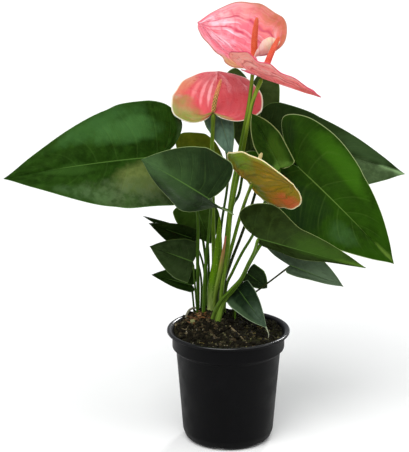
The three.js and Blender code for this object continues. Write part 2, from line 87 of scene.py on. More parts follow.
def begun(name: str, primitive: Callable[..., object], **sizes: object) -> Piece:
    """Starts a piece from a primitive, with nothing else selected.

    Args:
        name: Name of the piece.
        primitive: The operator that adds the primitive.
        sizes: Its sizes and its place.

    Returns:
        The piece.
    """
    bpy.ops.object.select_all(action="DESELECT")
    primitive(**sizes)
    piece = bpy.context.object
    piece.name = piece.data.name = name
    return piece


def edit(piece: Piece, *steps: Callable[[], object]) -> None:
    """Runs edit-mode operators on the whole mesh of a piece.

    Args:
        piece: The object that is edited.
        steps: The operators, each as a function without arguments.
    """
    pick(piece)
    bpy.ops.object.mode_set(mode="EDIT")
    bpy.ops.mesh.select_all(action="SELECT")
    for step in steps:
        step()
    bpy.ops.object.mode_set(mode="OBJECT")


def modify(piece: Piece, kind: str, **settings: object) -> None:
    """Adds a modifier to a piece and applies it.

    Args:
        piece: The object that is changed.
        kind: Blender's name of the modifier.
        settings: What is set on it.
    """
    made = piece.modifiers.new(kind.lower(), kind)
    for key, value in settings.items():
        setattr(made, key, value)
    bpy.context.view_layer.objects.active = piece
    bpy.ops.object.modifier_apply(modifier=made.name)


def smoothed(piece: Piece, degrees: float = 50) -> Piece:
    """Shades a piece smooth wherever its faces meet under an angle."""
    pick(piece)
    bpy.ops.object.shade_smooth_by_angle(angle=math.radians(degrees))
    return piece


Place = Callable[[Array, Array], Array]


def laid_grid(name: str, columns: int, rows: int, place: Place) -> Piece:
    """A grid primitive whose points are laid on a surface, with those that meet merged.

    Args:
        name: Name of the piece.
        columns: Faces across.
        rows: Faces along.
        place: Turns shares across and along, from 0 to 1, into points in millimetres.

    Returns:
        The grid as an open sheet or a closed shape, facing up where across and along turn left.
    """
    piece = begun(name, bpy.ops.mesh.primitive_grid_add, x_subdivisions=columns, y_subdivisions=rows, size=1)
    flat = np.empty(len(piece.data.vertices) * 3)
    piece.data.vertices.foreach_get("co", flat)
    flat = flat.reshape(-1, 3) + 0.5
    across, along = np.round(flat[:, 0] * columns) / columns, np.round(flat[:, 1] * rows) / rows
    piece.data.vertices.foreach_set("co", (place(across, along) * MM).ravel())
    piece.data.update()
    edit(piece, lambda: bpy.ops.mesh.remove_doubles(threshold=MERGE_MM * MM))
    return piece


def joined(name: str, pieces: Sequence[Piece]) -> Piece:
    """Several objects as one, under a new name."""
    pick(*pieces)
    bpy.ops.object.join()
    pieces[0].name = pieces[0].data.name = name
    return pieces[0]


def strewn(name: str, model: Piece, places: Sequence[Matrix]) -> Piece:
    """Copies of one small model at many places, as one mesh. The model itself is removed.

    Args:
        name: Name of the piece.
        model: The shape to copy, in units of its own size.
        places: Where each copy goes, in millimetres.

    Returns:
        The copies as one object.
    """
    points = np.array([(*v.co, 1) for v in model.data.vertices])
    shape = [tuple(face.vertices) for face in model.data.polygons]
    corners: list[Array] = []
    faces: list[tuple[int, ...]] = []
    for count, place in enumerate(places):
        corners.append((points @ np.array(place).T)[:, :3] * MM)
        faces += [tuple(i + count * len(points) for i in face) for face in shape]
    mesh = bpy.data.meshes.new(name)
    mesh.from_pydata(np.concatenate(corners).tolist(), [], faces)
    bpy.data.objects.remove(model)
    piece = bpy.data.objects.new(name, mesh)
    bpy.context.collection.objects.link(piece)
    return piece


def hand_over(piece: Piece, slot: str, skins: Sequence[Finish], *nodes: str) -> None:
    """Dresses a finished piece, hangs it under the root body and hides the solids that it stands for.

    Args:
        piece: The finished object.
        slot: Not used.
        skins: The piece's materials, in the order of its slots.
        nodes: The solids that it stands for.
    """
    for count, skin in enumerate(skins):
        if count < len(piece.data.materials):
            piece.data.materials[count] = skin
        else:
            piece.data.materials.append(skin)
    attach(piece, "root")
    if nodes:
        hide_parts(*nodes)
    LOG.info("%s: %d faces", piece.name, len(piece.data.polygons))


def cubic(knots: Sequence[Array], t: Array) -> Array:
    """Points of a smooth curve between the middle two of four knots, at shares of the way."""
    a, b, c, d = knots
    start, end = (c - a) / 2, (d - b) / 2
    return (2 * b - 2 * c + start + end) * t**3 + (3 * c - 3 * b - 2 * start - end) * t**2 + start * t + b


class Route:
    """A smooth line through points, with places on it by share of its length."""

    SAMPLES = 40
    TANGENT_REACH = 0.01

    def __init__(self, points: Sequence[Triple]) -> None:
        """Samples the line through the points, in millimetres."""
        knots = np.array(points, float)
        knots = np.vstack([2 * knots[0] - knots[1], knots, 2 * knots[-1] - knots[-2]])
        t = np.linspace(0, 1, self.SAMPLES, endpoint=False)[:, None]
        spans = [cubic(four, t) for four in zip(knots, knots[1:], knots[2:], knots[3:])]
        self.line = np.vstack([*spans, knots[-2]])
        steps = np.linalg.norm(np.diff(self.line, axis=0), axis=1)
        self.reach = np.concatenate([[0], np.cumsum(steps)])
        self.length = float(self.reach[-1])

    def at(self, share: Array) -> Array:
        """Points at shares of the length."""
        far = share * self.length
        return np.stack([np.interp(far, self.reach, self.line[:, axis]) for axis in range(3)], axis=-1)

    def frames(self, count: int) -> tuple[Array, Array]:
        """Two directions across the line at evenly spaced places, without twist."""
        share = np.linspace(0, 1, count)
        after, before = (np.clip(share + way * self.TANGENT_REACH, 0, 1) for way in (1, -1))
        ahead = self.at(after) - self.at(before)
        ahead /= np.linalg.norm(ahead, axis=1)[:, None]
        least = np.eye(3)[np.argmin(np.abs(ahead[0]))]
        first = []
        for tangent in ahead:
            least = least - tangent * least.dot(tangent)
            least = least / np.linalg.norm(least)
            first.append(least)
        first = np.array(first)
        return first, np.cross(ahead, first)


def tube(
    name: str,
    route: Route,
    radius: Callable[[Array, Array], Array],
    columns: int,
    rows: int,
) -> Piece:
    """A closed round tube along a route.

    Args:
        name: Name of the piece.
        route: The line in its middle.
        radius: Its radius in millimetres from shares around and along.
        columns: Faces around.
        rows: Faces along.

    Returns:
        The tube, drawn in to a point at both ends.
    """
    first, second = route.frames(rows + 1)

    def place(around: Array, along: Array) -> Array:
        """Points of the tube's skin."""
        ring = np.round(along * rows).astype(int)
        turn = 2 * np.pi * around
        size = radius(around % 1, along) * np.where((ring == 0) | (ring == rows), 0, 1)
        out = first[ring] * np.cos(turn)[:, None] + second[ring] * np.sin(turn)[:, None]
        return route.at(along) + out * size[:, None]

    return laid_grid(name, columns, rows, place)


# Materials


# How strongly the finer grains of a noise show against its coarse ones
FINER = 0.55


@dataclass(frozen=True)
class Patch:
    """A soft patch of another colour on a blade, at shares from the left margin and from the stem.

    A crinkled one is broken up by small folds. Most patches are painted highlights, sheen and shade; the rest
    give the blade's own tone.
    """

    across: float
    along: float
    wide: float
    long: float
    colour: int
    strength: float = 1.0
    crinkled: float = 0.0


class Shader:
    """A procedural material while its nodes are laid."""

    USUAL = {
        "MapRange": ("interpolation_type", "SMOOTHSTEP"),
        "Mix": ("data_type", "RGBA"),
        "TexVoronoi": ("feature", "DISTANCE_TO_EDGE"),
    }

    def __init__(self, name: str) -> None:
        """Starts a material that knows its place on the object."""
        self.material = bpy.data.materials.new(name)
        self.material.use_nodes = True
        self.tree = self.material.node_tree
        self.tree.nodes.clear()
        self.place = self.add("TexCoord", out="Object")

    def add(
        self,
        kind: str,
        *values: object,
        out: int | str = 0,
        stops: Sequence[tuple[float, int]] = (),
        **named: object,
    ) -> Socket:
        """Adds one node with its settings and links.

        Args:
            kind: Blender's name of the node, without its prefix, or the operation of a sum in capitals.
            values: For each input in use, a number, a hex colour, a socket to link, or None to leave it.
            out: Name or number of the output that is wanted.
            stops: A ramp's two places and colours.
            named: Inputs by name.

        Returns:
            The output socket.
        """
        made = self.tree.nodes.new("ShaderNode" + ("Math" if kind.isupper() else kind))
        if kind.isupper():
            made.operation = kind
        if kind in self.USUAL:
            setattr(made, *self.USUAL[kind])
        for count, (at, colour) in enumerate(stops):
            stop = made.color_ramp.elements[count]
            stop.position, stop.color = at, linear(colour)
        pairs = list(zip([s for s in made.inputs if s.enabled], values))
        pairs += [(made.inputs[key.replace("_", " ")], value) for key, value in named.items()]
        for socket, value in pairs:
            if isinstance(value, Socket):
                self.tree.links.new(value, socket)
            elif value is not None:
                hexed = socket.type == "RGBA" and isinstance(value, int)
                socket.default_value = linear(value) if hexed else value
        if not made.outputs:
            return made.inputs[0]
        return made.outputs[out] if isinstance(out, str) else [s for s in made.outputs if s.enabled][out]

    def surface(self, colour: object, rough: object, bumps: object, depth: float, **fixed: object) -> Finish:
        """Finishes the material.

        Args:
            colour: Its colour.
            rough: Its roughness.
            bumps: Height of its fine relief, from 0 to 1.
            depth: What a height of 1 stands for, in millimetres.
            fixed: Other sockets of the shader, by name.

        Returns:
            The material.
        """
        lift = self.add("Bump", out="Normal", Strength=1.0, Distance=depth * MM, Height=bumps)
        shade = self.add("BsdfPrincipled", Base_Color=colour, Roughness=rough, Normal=lift, **fixed)
        self.add("OutputMaterial", shade)
        return self.material


class LaidShader(Shader):
    """The material of a piece laid from a grid, with shares across and along it."""

    def __init__(self, name: str) -> None:
        """Starts the material."""
        super().__init__(name)
        self.across = self.add("SeparateXYZ", self.add("TexCoord", out="UV"), out="X")
        self.along = self.across.node.outputs["Y"]

    def halves(self) -> tuple[Socket, Socket]:
        """The share from a blade's midrib out to its margin, and 1 on its right half."""
        out = self.add("ABSOLUTE", self.add("MULTIPLY_ADD", self.across, 2, -1))
        return out, self.add("MapRange", self.across, 0.49, 0.51)

    def patched(self, colour: object, patches: Sequence[Patch]) -> object:
        """Lays soft patches with uneven edges on a blade.

        Args:
            colour: The blade's colour.
            patches: The patches, from the lowest to the topmost.

        Returns:
            The colour with its patches.
        """
        if not patches:
            return colour
        add = self.add
        uneven = add("MULTIPLY_ADD", add("TexNoise", self.place, per_mm(13), 3, FINER), 1.2, -0.6)
        for patch in patches:
            wide = add("MULTIPLY_ADD", self.across, 1 / patch.wide, -patch.across / patch.wide)
            long = add("MULTIPLY_ADD", self.along, 1 / patch.long, -patch.along / patch.long)
            far = add("ADD", uneven, add("POWER", wide, 2))
            far = add("ADD", far, add("POWER", long, 2))
            shown = add("MapRange", far, 0, 1.1, patch.strength, 0)
            if patch.crinkled:
                folds = add("TexNoise", self.place, per_mm(6), 5, FINER)
                shown = add("MULTIPLY", shown, add("MapRange", folds, 0.36, 0.64, 1 - patch.crinkled, 1))
            # Each patch paints its colour over the blade: mostly painted highlight, sheen and shade, partly
            # the blade's own tone.
            colour = add("Mix", shown, colour, patch.colour)
        return colour


# A side vein's lean grows with this power of the way out to the margin
LEAN_POWER = 1.3


@dataclass(frozen=True)
class Venation:
    """How the veins of a blade run, with its relief in millimetres.

    Attributes:
        count: Side veins on each half.
        sweep: How far a side vein leans ahead on its way to the margin.
        quilt: How far the skin stands up between two side veins.
        arcs: Basal veins on each half, which run in arcs from the stem to the tip.
        pucker: How far the skin stands up between two arcs.
        groove: Depth of the channel over the midrib.
        ripple: Slow unevenness of the whole blade.
    """

    count: float = 11
    sweep: float = 0.1
    quilt: float = 0.3
    arcs: float = 3
    pucker: float = 0.12
    groove: float = 0.5
    ripple: float = 0.5

    def relief(self, out: Array, along: Array, right: Array) -> Array:
        """Height of the skin over the plain blade, in millimetres."""
        phase = self.count * (along - self.sweep * out**LEAN_POWER) + 0.5 * right
        swell = 0.5 - 0.5 * np.cos(2 * np.pi * phase)
        arched = 0.5 - 0.5 * np.cos(2 * np.pi * self.arcs * out)
        inner = smooth_step(out, 0.02, 0.3) * (1 - smooth_step(out, 0.72, 0.98))
        ends = smooth_step(along, 0.0, 0.12) * (1 - smooth_step(along, 0.8, 0.97))
        slow = np.sin(9 * along + 5 * out + 2.3 * right) * np.cos(4 * along - 7 * out + 1.1 * right)
        lift = self.quilt * swell * inner + self.pucker * arched * inner**0.5
        lift += self.ripple * slow * smooth_step(out, 0, 0.4)
        return (lift - self.groove * np.exp(-((out / 0.045) ** 2))) * ends

    def drawn(self, shader: LaidShader, out: object, right: object) -> tuple[Socket, ...]:
        """Distances from the nearest side vein and arc, from 0 on it to a half between two."""
        add = shader.add
        lean = add("MULTIPLY", add("POWER", out, LEAN_POWER), -self.sweep)
        phase = add("MULTIPLY", add("ADD", shader.along, lean), self.count)
        side = add("PINGPONG", add("MULTIPLY_ADD", right, 0.5, phase), 0.5)
        return side, add("PINGPONG", add("MULTIPLY", out, self.arcs), 0.5)


@dataclass(frozen=True)
class LeafSkin:
    """Upper face of an anthurium leaf, a living cuticle with a thin coat of wax.

    The wax gives a broad soft sheen that stays green, and the veins show as thin paler lines.
    """

    deep: int = 0x0E2A0C
    body: int = 0x1E4716
    bloom: int = 0x2C5A33
    vein: int = 0x5A7E38
    rim: int = 0x6A8A3C
    patches: tuple[Patch, ...] = ()
    vein_show: float = 0.055
    rib_show: float = 0.5
    gloss: float = 0.3
    wax: float = 0.09

    def build(self, name: str, veins: Venation, half: float) -> Finish:
        """Makes the material of one leaf.

        Args:
            name: Name of the material.
            veins: How its veins run.
            half: Its half width, in millimetres.

        Returns:
            The material.
        """
        shader = LaidShader(name)
        add, place, along = shader.add, shader.place, shader.along
        out, right = shader.halves()
        near, arc = veins.drawn(shader, out, right)
        side = add("MULTIPLY", add("MapRange", near, 0, 0.07, 1, 0), add("MapRange", out, 0.55, 0.97, 1, 0))
        basal = add("MULTIPLY", add("MapRange", arc, 0, 0.04, 0.7, 0), add("MapRange", along, 0.1, 0.6, 1, 0))
        small = add("PINGPONG", add("MULTIPLY", near, 5), 0.5)
        twigs = add("MULTIPLY", add("MapRange", small, 0, 0.16, 0.3, 0), add("MapRange", out, 0.1, 0.3))
        rib = add("MapRange", out, 0.2 / half, 0.9 / half, 1, 0)
        lines = add("MAXIMUM", add("MAXIMUM", side, twigs), add("MAXIMUM", basal, rib))
        clouds = add("MapRange", add("TexNoise", place, per_mm(26), 3, FINER), 0.36, 0.64)
        mottle = add("MapRange", add("TexNoise", place, per_mm(7), 4, FINER), 0.4, 0.72)
        colour = add("Mix", clouds, self.deep, self.body)
        colour = add("Mix", add("MULTIPLY", mottle, 0.45), colour, self.bloom)
        colour = shader.patched(colour, self.patches)
        between = add("MULTIPLY", add("MapRange", near, 0.12, 0.45), add("MapRange", out, 0.15, 0.5))
        colour = add("Mix", add("MULTIPLY", between, 0.16), colour, self.bloom)
        veined = add("MULTIPLY", lines, self.vein_show)
        ribbed = add("MAXIMUM", veined, add("MULTIPLY", rib, self.rib_show))
        colour = add("Mix", ribbed, colour, self.vein)
        colour = add("Mix", add("MapRange", out, 1 - 0.9 / half, 1 - 0.3 / half, 0, 0.8), colour, self.rim)
        cells = add("MULTIPLY", add("TexVoronoi", place, per_mm(0.7)), 0.4)
        bumps = add("MULTIPLY_ADD", lines, -0.8, cells)
        bumps = add("MULTIPLY_ADD", add("TexNoise", place, per_mm(4), 3, FINER), 1.2, bumps)
        sheen = add("TexNoise", place, per_mm(9), 3, FINER)
        rough = add("MapRange", sheen, 0.3, 0.7, self.gloss, self.gloss + 0.12)
        return shader.surface(
            colour, rough, bumps, 0.22, Specular_IOR_Level=self.wax, Specular_Tint=(0.5, 1.0, 0.2, 1.0)
        )


@dataclass(frozen=True)
class LeafUnderside:
    """Lower face of the leaf, matt and paler, with its veins standing out.

    The right half of a folded leaf lies in its own shade, painted in as a darker tone with fainter veins.
    """

    body: int = 0x55783C
    vein: int = 0x8AA55A
    shaded_right_half: int = 0x55783C

    def build(self, name: str, veins: Venation, half: float) -> Finish:
        """Makes the material; the arguments are those of the upper face."""
        shader = LaidShader(name)
        add, place = shader.add, shader.place
        out, right = shader.halves()
        near, _ = veins.drawn(shader, out, right)
        side = add("MULTIPLY", add("MapRange", near, 0, 0.12, 1, 0), add("MapRange", out, 0.6, 1, 1, 0))
        lines = add("MAXIMUM", side, add("MapRange", out, 0.9 / half, 2.4 / half, 1, 0))
        # Painted shade: the folded right half takes a darker tone, and its veins show less below.
        body = add("Mix", right, self.body, self.shaded_right_half)
        mottle = add("MapRange", add("TexNoise", place, per_mm(7), 4, FINER), 0.3, 0.7, 0, 0.22)
        colour = add("Mix", mottle, body, self.vein)
        colour = add("Mix", add("MULTIPLY", lines, 0.5), colour, self.vein)
        if self.shaded_right_half != self.body:
            calm = add("Mix", add("MULTIPLY", lines, 0.2), body, self.vein)
            colour = add("Mix", right, colour, calm)
        bumps = add("ADD", lines, add("TexNoise", place, per_mm(0.8), 2, FINER))
        return shader.surface(
            colour, 0.7, bumps, 0.25, Specular_IOR_Level=0.03, Specular_Tint=(0.5, 1.0, 0.4, 1.0)
        )


@dataclass(frozen=True)
class SpatheSkin:
    """Spathe of a flower, a thick bract with a lacquer-like natural gloss, puckered between its veins."""

    body: int = 0xD85A66
    pale: int = 0xEFA0A0
    vein: int = 0xC23C4E
    rim: int = 0xE8A088
    patches: tuple[Patch, ...] = ()
    gloss: float = 0.26
    vein_show: float = 0.6
    streak_show: float = 0.7

    def build(self, name: str, veins: Venation, half: float) -> Finish:
        """Makes the material of one spathe; the arguments are those of a leaf's upper face."""
        shader = LaidShader(name)
        add, place, along = shader.add, shader.place, shader.along
        out, right = shader.halves()
        shift = add("TexNoise", place, per_mm(24), 2, FINER)
        astray = add("MULTIPLY_ADD", shift, 0.34, add("ADD", out, -0.17))
        near, arc = veins.drawn(shader, add("MAXIMUM", astray, 0), right)
        fade = add("MULTIPLY", add("MapRange", out, 0.02, 0.12), add("MapRange", out, 0.7, 0.98, 1, 0))
        side = add("MULTIPLY", add("MapRange", near, 0, 0.1, 0.4, 0), fade)
        basal = add("MULTIPLY", add("MapRange", arc, 0, 0.16, 1, 0), fade)
        small = add("PINGPONG", add("MULTIPLY", arc, 4), 0.5)
        twigs = add("MULTIPLY", add("MapRange", small, 0, 0.2, 0.3, 0), fade)
        lines = add("MAXIMUM", add("MAXIMUM", side, basal), twigs)
        swell = add("MULTIPLY", add("MapRange", arc, 0.08, 0.45), fade)
        # Pale streaks along the spathe, strongest on the puckers between the arcs: its own paler streaks,
        # with painted highlight where the puckers catch the light.
        drawn = add("CombineXYZ", add("MULTIPLY", astray, 10), add("MULTIPLY", along, 2.6))
        streaks = add("MapRange", add("TexNoise", drawn, 1.0, 3, 0.6), 0.44, 0.66, 0, self.streak_show)
        streaks = add("MULTIPLY", streaks, add("MapRange", swell, 0, 1, 0.35, 1))
        colour = shader.patched(add("Mix", streaks, self.body, self.pale), self.patches)
        worn = add("MapRange", add("TexNoise", place, per_mm(11), 3, FINER), 0.34, 0.56, 0.35, 1)
        broken = add("MULTIPLY", add("MULTIPLY", lines, worn), self.vein_show)
        colour = add("Mix", broken, colour, self.vein)
        colour = add("Mix", add("MapRange", out, 1 - 1.9 / half, 1 - 0.5 / half, 0, 0.9), colour, self.rim)
        cells = add("TexVoronoi", place, per_mm(0.8))
        bumps = add("MULTIPLY_ADD", lines, -0.8, add("MULTIPLY_ADD", swell, 0.6, cells))
        sheen = add("TexNoise", place, per_mm(6), 3, FINER)
        rough = add("MapRange", sheen, 0.3, 0.7, self.gloss, self.gloss + 0.12)
        return shader.surface(
            colour, rough, bumps, 0.3, Specular_IOR_Level=0.15, Coat_Weight=0.1, Coat_Roughness=0.18,
            Subsurface_Weight=0.4, Subsurface_Scale=0.004, Subsurface_Radius=(1.0, 0.4, 0.3),
        )


@dataclass(frozen=True)
class StemSkin:
    """Skin of a petiole or flower stalk, smooth and waxy with faint streaks along it."""

    foot: int = 0x7C9A38
    body: int = 0x486818
    head: int = 0x62842A
    streak: int = 0x22380A
    foot_end: float = 0.45

    def build(self, name: str, length: float) -> Finish:
        """Makes the material of one stem, given its length in millimetres."""
        shader = LaidShader(name)
        add, place, along = shader.add, shader.place, shader.along
        drawn = add("CombineXYZ", add("MULTIPLY", shader.across, 4.5), add("MULTIPLY", along, length / 45))
        streaks = add("MapRange", add("TexNoise", drawn, 1.0, 3, 0.6), 0.4, 0.6)
        colour = add("Mix", add("MapRange", along, 0.02, self.foot_end), self.foot, self.body)
        colour = add("Mix", add("MapRange", along, 0.6, 1), colour, self.head)
        colour = add("Mix", add("MULTIPLY", streaks, 0.75), colour, self.streak)
        flecks = add("MapRange", add("TexNoise", place, per_mm(1.5), 2, FINER), 0.62, 0.72, 0, 0.35)
        colour = add("Mix", flecks, colour, self.foot)
        rough = add("MapRange", streaks, 0, 1, 0.4, 0.52)
        bumps = add("ADD", streaks, add("TexNoise", place, per_mm(0.9), 2, FINER))
        return shader.surface(
            colour, rough, bumps, 0.12, Specular_IOR_Level=0.12, Specular_Tint=(0.8, 1.0, 0.3, 1.0)
        )


@dataclass(frozen=True)
class SpadixSkin:
    """Spadix, a fleshy spike set with hundreds of tiny matt florets in crossing spirals."""

    low: int = 0xE8602C
    high: int = 0xE85636
    seam: int = 0xC0401E
    light: int = 0xF89860
    split: Pair = (0.4, 0.6)
    seam_show: Pair = (0.6, 0.6)

    def build(self, name: str, around: int, along_count: float) -> Finish:
        """Makes the material of one spadix, given its florets around and along it."""
        shader = LaidShader(name)
        add, place, along = shader.add, shader.place, shader.along
        turn = add("MULTIPLY", shader.across, around)
        ways = [add("MULTIPLY_ADD", along, way * along_count, turn) for way in (1, -1)]
        near = add("MINIMUM", *[add("PINGPONG", way, 0.5) for way in ways])
        colour = add("Mix", add("MapRange", along, *self.split), self.low, self.high)
        colour = add("Mix", add("MapRange", near, 0.25, 0.48, 0, 0.5), colour, self.light)
        shown = add("MapRange", along, *self.split, *self.seam_show)
        seams = add("MULTIPLY", add("MapRange", near, 0.02, 0.24, 1, 0), shown)
        colour = add("Mix", seams, colour, self.seam)
        bloom = add("MapRange", add("TexNoise", place, per_mm(3), 3, FINER), 0.4, 0.7, 0, 0.3)
        colour = add("Mix", bloom, colour, self.light)
        fine = add("MULTIPLY", add("TexNoise", place, per_mm(0.3), 2, FINER), 0.3)
        return shader.surface(colour, 0.62, add("MULTIPLY_ADD", near, 1.5, fine), 0.3)


class Ground(Enum):
    """Loose matter in the pot: the darkest, middle and lightest tone, roughness and grain in millimetres."""

    PEAT = (0x070604, 0x16130B, 0x302A18, 0.95, 1.1)
    CRUMB = (0x0A0A06, 0x262416, 0x6E6A4A, 0.92, 3.2)
    BARK = (0x1C1810, 0x443A28, 0x857A5E, 0.8, 2.4)
    HUSK = (0x342310, 0x6A482A, 0xAC865C, 0.7, 2.2)
    STRAW = (0x5E5A4A, 0x84806C, 0xA6A28C, 0.75, 2.4)
    GRIT = (0x5A554A, 0x8A8372, 0xB4AC98, 0.85, 0.7)
    MOSS = (0x1A1C10, 0x3C3E1E, 0x6E6E3A, 0.9, 2.2)
    FIBRE = (0x4A4020, 0x7E7040, 0xAEA070, 0.75, 1.5)
    ROOT = (0x4A402C, 0x7E7054, 0xA6987A, 0.7, 2.0)
    STUB = (0x5A5A34, 0x86885A, 0xB0B088, 0.65, 2.0)

    def build(self) -> Finish:
        """Makes the material: each crumb, chip or fibre falls on another tone of the grain."""
        dark, middle, pale, rough, size = self.value
        shader = Shader(self.name.lower())
        add, place = shader.add, shader.place
        grain = add("TexNoise", place, per_mm(size), 4, 0.7)
        tones = add("ValToRGB", grain, stops=((0.32, dark), (0.52, middle)))
        light = add("MapRange", add("TexNoise", place, per_mm(size * 2.3), 3, FINER), 0.55, 0.72)
        damp = add("MapRange", add("TexNoise", place, per_mm(12), 2, FINER), 0.4, 0.6, rough - 0.12, rough)
        crumbs = add("TexNoise", place, per_mm(size / 4), 5, 0.75)
        return shader.surface(add("Mix", light, tones, pale), damp, crumbs, 0.35, Specular_IOR_Level=0.1)


@dataclass(frozen=True)
class NurseryPlastic:
    """Thermoformed black polypropylene: satin, with faint drawing lines, dusty handling smears and a lip that
    grows lighter towards its crest, partly from handling and partly as painted highlight.
    """

    body: int = 0x040405
    dust_and_highlight: int = 0x0F0F11
    lip_z: float = 109.5

    def build(self) -> Finish:
        """Makes the material of the pot."""
        shader = Shader("nursery_plastic")
        add, place = shader.add, shader.place
        high = add("SeparateXYZ", place, out="Z")
        smears = add("TexNoise", place, per_mm(18), 4, FINER)
        colour = add("Mix", add("MapRange", smears, 0.45, 0.75, 0, 0.3), self.body, self.dust_and_highlight)
        # The lip grows lighter towards its top: partly dusty from handling, partly a painted highlight on the
        # crest.
        lip = add("MapRange", high, self.lip_z * MM, (self.lip_z + 3) * MM, 0, 0.5)
        colour = add("Mix", lip, colour, self.dust_and_highlight)
        lines = add("TexNoise", add("Mapping", place, (0, 0, 0), (0, 0, 0), (0.15, 0.15, 6)), per_mm(6), 2)
        rough = add("MapRange", smears, 0.3, 0.7, 0.4, 0.56)
        crest = add("MapRange", high, (self.lip_z + 0.8) * MM, (self.lip_z + 2.2) * MM)
        bumps = add("ADD", lines, add("TexNoise", place, per_mm(0.5), 2, FINER))
        return shader.surface(
            colour, rough, bumps, 0.05, Specular_IOR_Level=0.07, Coat_Weight=crest, Coat_Roughness=0.16
        )


@dataclass(frozen=True)
class PaleFloor:
    """Matt painted board, plain and pale, with a faint unevenness."""

    colour: int = 0xFBFBFA
    shade: int = 0xF7F7F6

    def build(self) -> Finish:
        """Makes the material of the floor."""
        shader = Shader("pale_floor")
        add, place = shader.add, shader.place
        clouds = add("MapRange", add("TexNoise", place, per_mm(90), 2, FINER), 0.3, 0.7, 0, 0.3)
        grain = add("TexNoise", place, per_mm(2), 2, FINER)
        return shader.surface(add("Mix", clouds, self.colour, self.shade), 0.9, grain, 0.02)


# Plant


class Outline(Enum):
    """Half outlines of a heart: x in half widths, y in lobes behind the stem and blade lengths ahead."""

    LEAF = (
        (0, 0), (0.2, -0.62), (0.55, -1), (0.88, -0.62), (1, 0.14),
        (0.88, 0.38), (0.62, 0.62), (0.3, 0.83), (0.08, 0.95), (0, 1),
    )
    SPATHE = (
        (0, 0), (0.2, -0.7), (0.55, -1), (0.9, -0.55), (1.02, 0.14),
        (0.93, 0.42), (0.7, 0.68), (0.36, 0.88), (0.08, 0.97), (0, 1),
    )

    def at(self, share: Array) -> tuple[Array, Array]:
        """Points of the outline at shares of its course."""
        knots = np.array(self.value, float)
        last = len(knots) - 1
        span = np.minimum(np.floor(share * last).astype(int), last - 1)
        t = (share * last - span)[:, None]
        point = cubic([knots[np.clip(span + step, 0, last)] for step in (-1, 0, 1, 2)], t)
        return point[:, 0], point[:, 1]


# Share of the margin's course at which the midrib starts
RIB_START = 0.3
# Shares of the blade's length at which a turning fold starts to turn, and at which a slim half is slimmest
FOLD_TURN_FROM = 0.35
SLIM_FULL_AT = 0.35


@dataclass(frozen=True)
class Blade:
    """A heart-shaped blade in millimetres, with folds in degrees. Pairs hold the left and the right half.

    Attributes:
        base: Where the stem meets it.
        tip: Its tip.
        face: The way its upper face looks.
        half: Half widths.
        lobe: Lobes behind the stem, as shares of its length.
        full: Below 1, the margin runs wider towards the tip.
        slim: How much a half narrows past the stem.
        fold: Rise of each half from the midrib.
        turn: What the fold gains towards the stem.
        arch: How far the margins hang.
        bow: How far the midrib rises between its ends.
        wave: Swing of the margins.
        waves: Swings along a margin.
        phase: Where the swings start.
    """

    base: Triple
    tip: Triple
    face: Triple
    half: Pair
    lobe: Pair = (0.2, 0.2)
    full: Pair = (1, 1)
    slim: Pair = (0, 0)
    fold: Pair = (8, 8)
    turn: Pair = (0, 0)
    arch: float = 0
    bow: float = 0
    wave: float = 0
    waves: float = 1.5
    phase: float = 0

    def sheet(self, across: Array, along: Array, outline: Outline, veins: Venation) -> Array:
        """Points of the blade's middle surface.

        Args:
            across: Shares from the left margin to the right one.
            along: Shares from the stem to the tip.
            outline: Shape of the margin.
            veins: How the veins run, which gives the relief.

        Returns:
            Points in millimetres.
        """
        base = np.array(self.base, float)
        ahead = np.array(self.tip, float) - base
        length = np.linalg.norm(ahead)
        ahead /= length
        up = np.array(self.face, float)
        up -= ahead * up.dot(ahead)
        up /= np.linalg.norm(up)
        aside = np.cross(ahead, up)
        right = (across > 0.5).astype(int)
        out = np.abs(2 * across - 1)
        pairs = (self.lobe, self.full, self.slim, self.half, self.fold, self.turn)
        lobe, full, slim, half, fold, turn = (np.array(pair, float)[right] for pair in pairs)
        edge_x, edge_y = outline.at(along)
        narrow = 1 - slim * smooth_step(edge_y, 0, SLIM_FULL_AT)
        edge_x = edge_x * narrow * half
        edge_y = length * np.where(edge_y < 0, edge_y * lobe, np.abs(edge_y) ** full)
        rib_y = length * np.maximum(0, (along - RIB_START) / (1 - RIB_START))
        x, y = edge_x * out, rib_y + (edge_y - rib_y) * out
        share, wide = y / length, x / half
        fold = np.radians(fold + turn * smooth_step(FOLD_TURN_FROM - share, 0, 2 * FOLD_TURN_FROM))
        swing = 2 * np.pi * (self.waves * share + self.phase + right / 2)
        rise = (self.wave * np.sin(swing) - self.arch) * wide**2 + veins.relief(out, along, right)
        bowed = 4 * self.bow * share * (1 - np.maximum(share, 0))
        sideways = np.where(right == 1, 1, -1) * (x * np.cos(fold) - rise * np.sin(fold))
        height = x * np.sin(fold) + rise * np.cos(fold) + bowed
        return base + np.outer(sideways, aside) + np.outer(y, ahead) + np.outer(height, up)


class Detail(Enum):
    """Faces of a blade across and along."""

    LARGE = (44, 110)
    MEDIUM = (36, 90)
    SMALL = (28, 64)
    TINY = (20, 44)


def blade_piece(
    name: str, blade: Blade, outline: Outline, veins: Venation, detail: Detail, thick: float
) -> Piece:
    """A blade as a closed sheet of some thickness.

    Args:
        name: Name of the piece.
        blade: Its shape.
        outline: Its margin.
        veins: How its veins run.
        detail: How fine it is.
        thick: Its thickness in millimetres.

    Returns:
        The piece, with a second material slot for its lower face.
    """
    columns, rows = detail.value
    piece = laid_grid(name, columns, rows, lambda across, along: blade.sheet(across, along, outline, veins))
    piece.data.materials.append(None)
    piece.data.materials.append(None)
    modify(piece, "SOLIDIFY", thickness=thick * MM, offset=0, material_offset=1)
    return smoothed(piece)


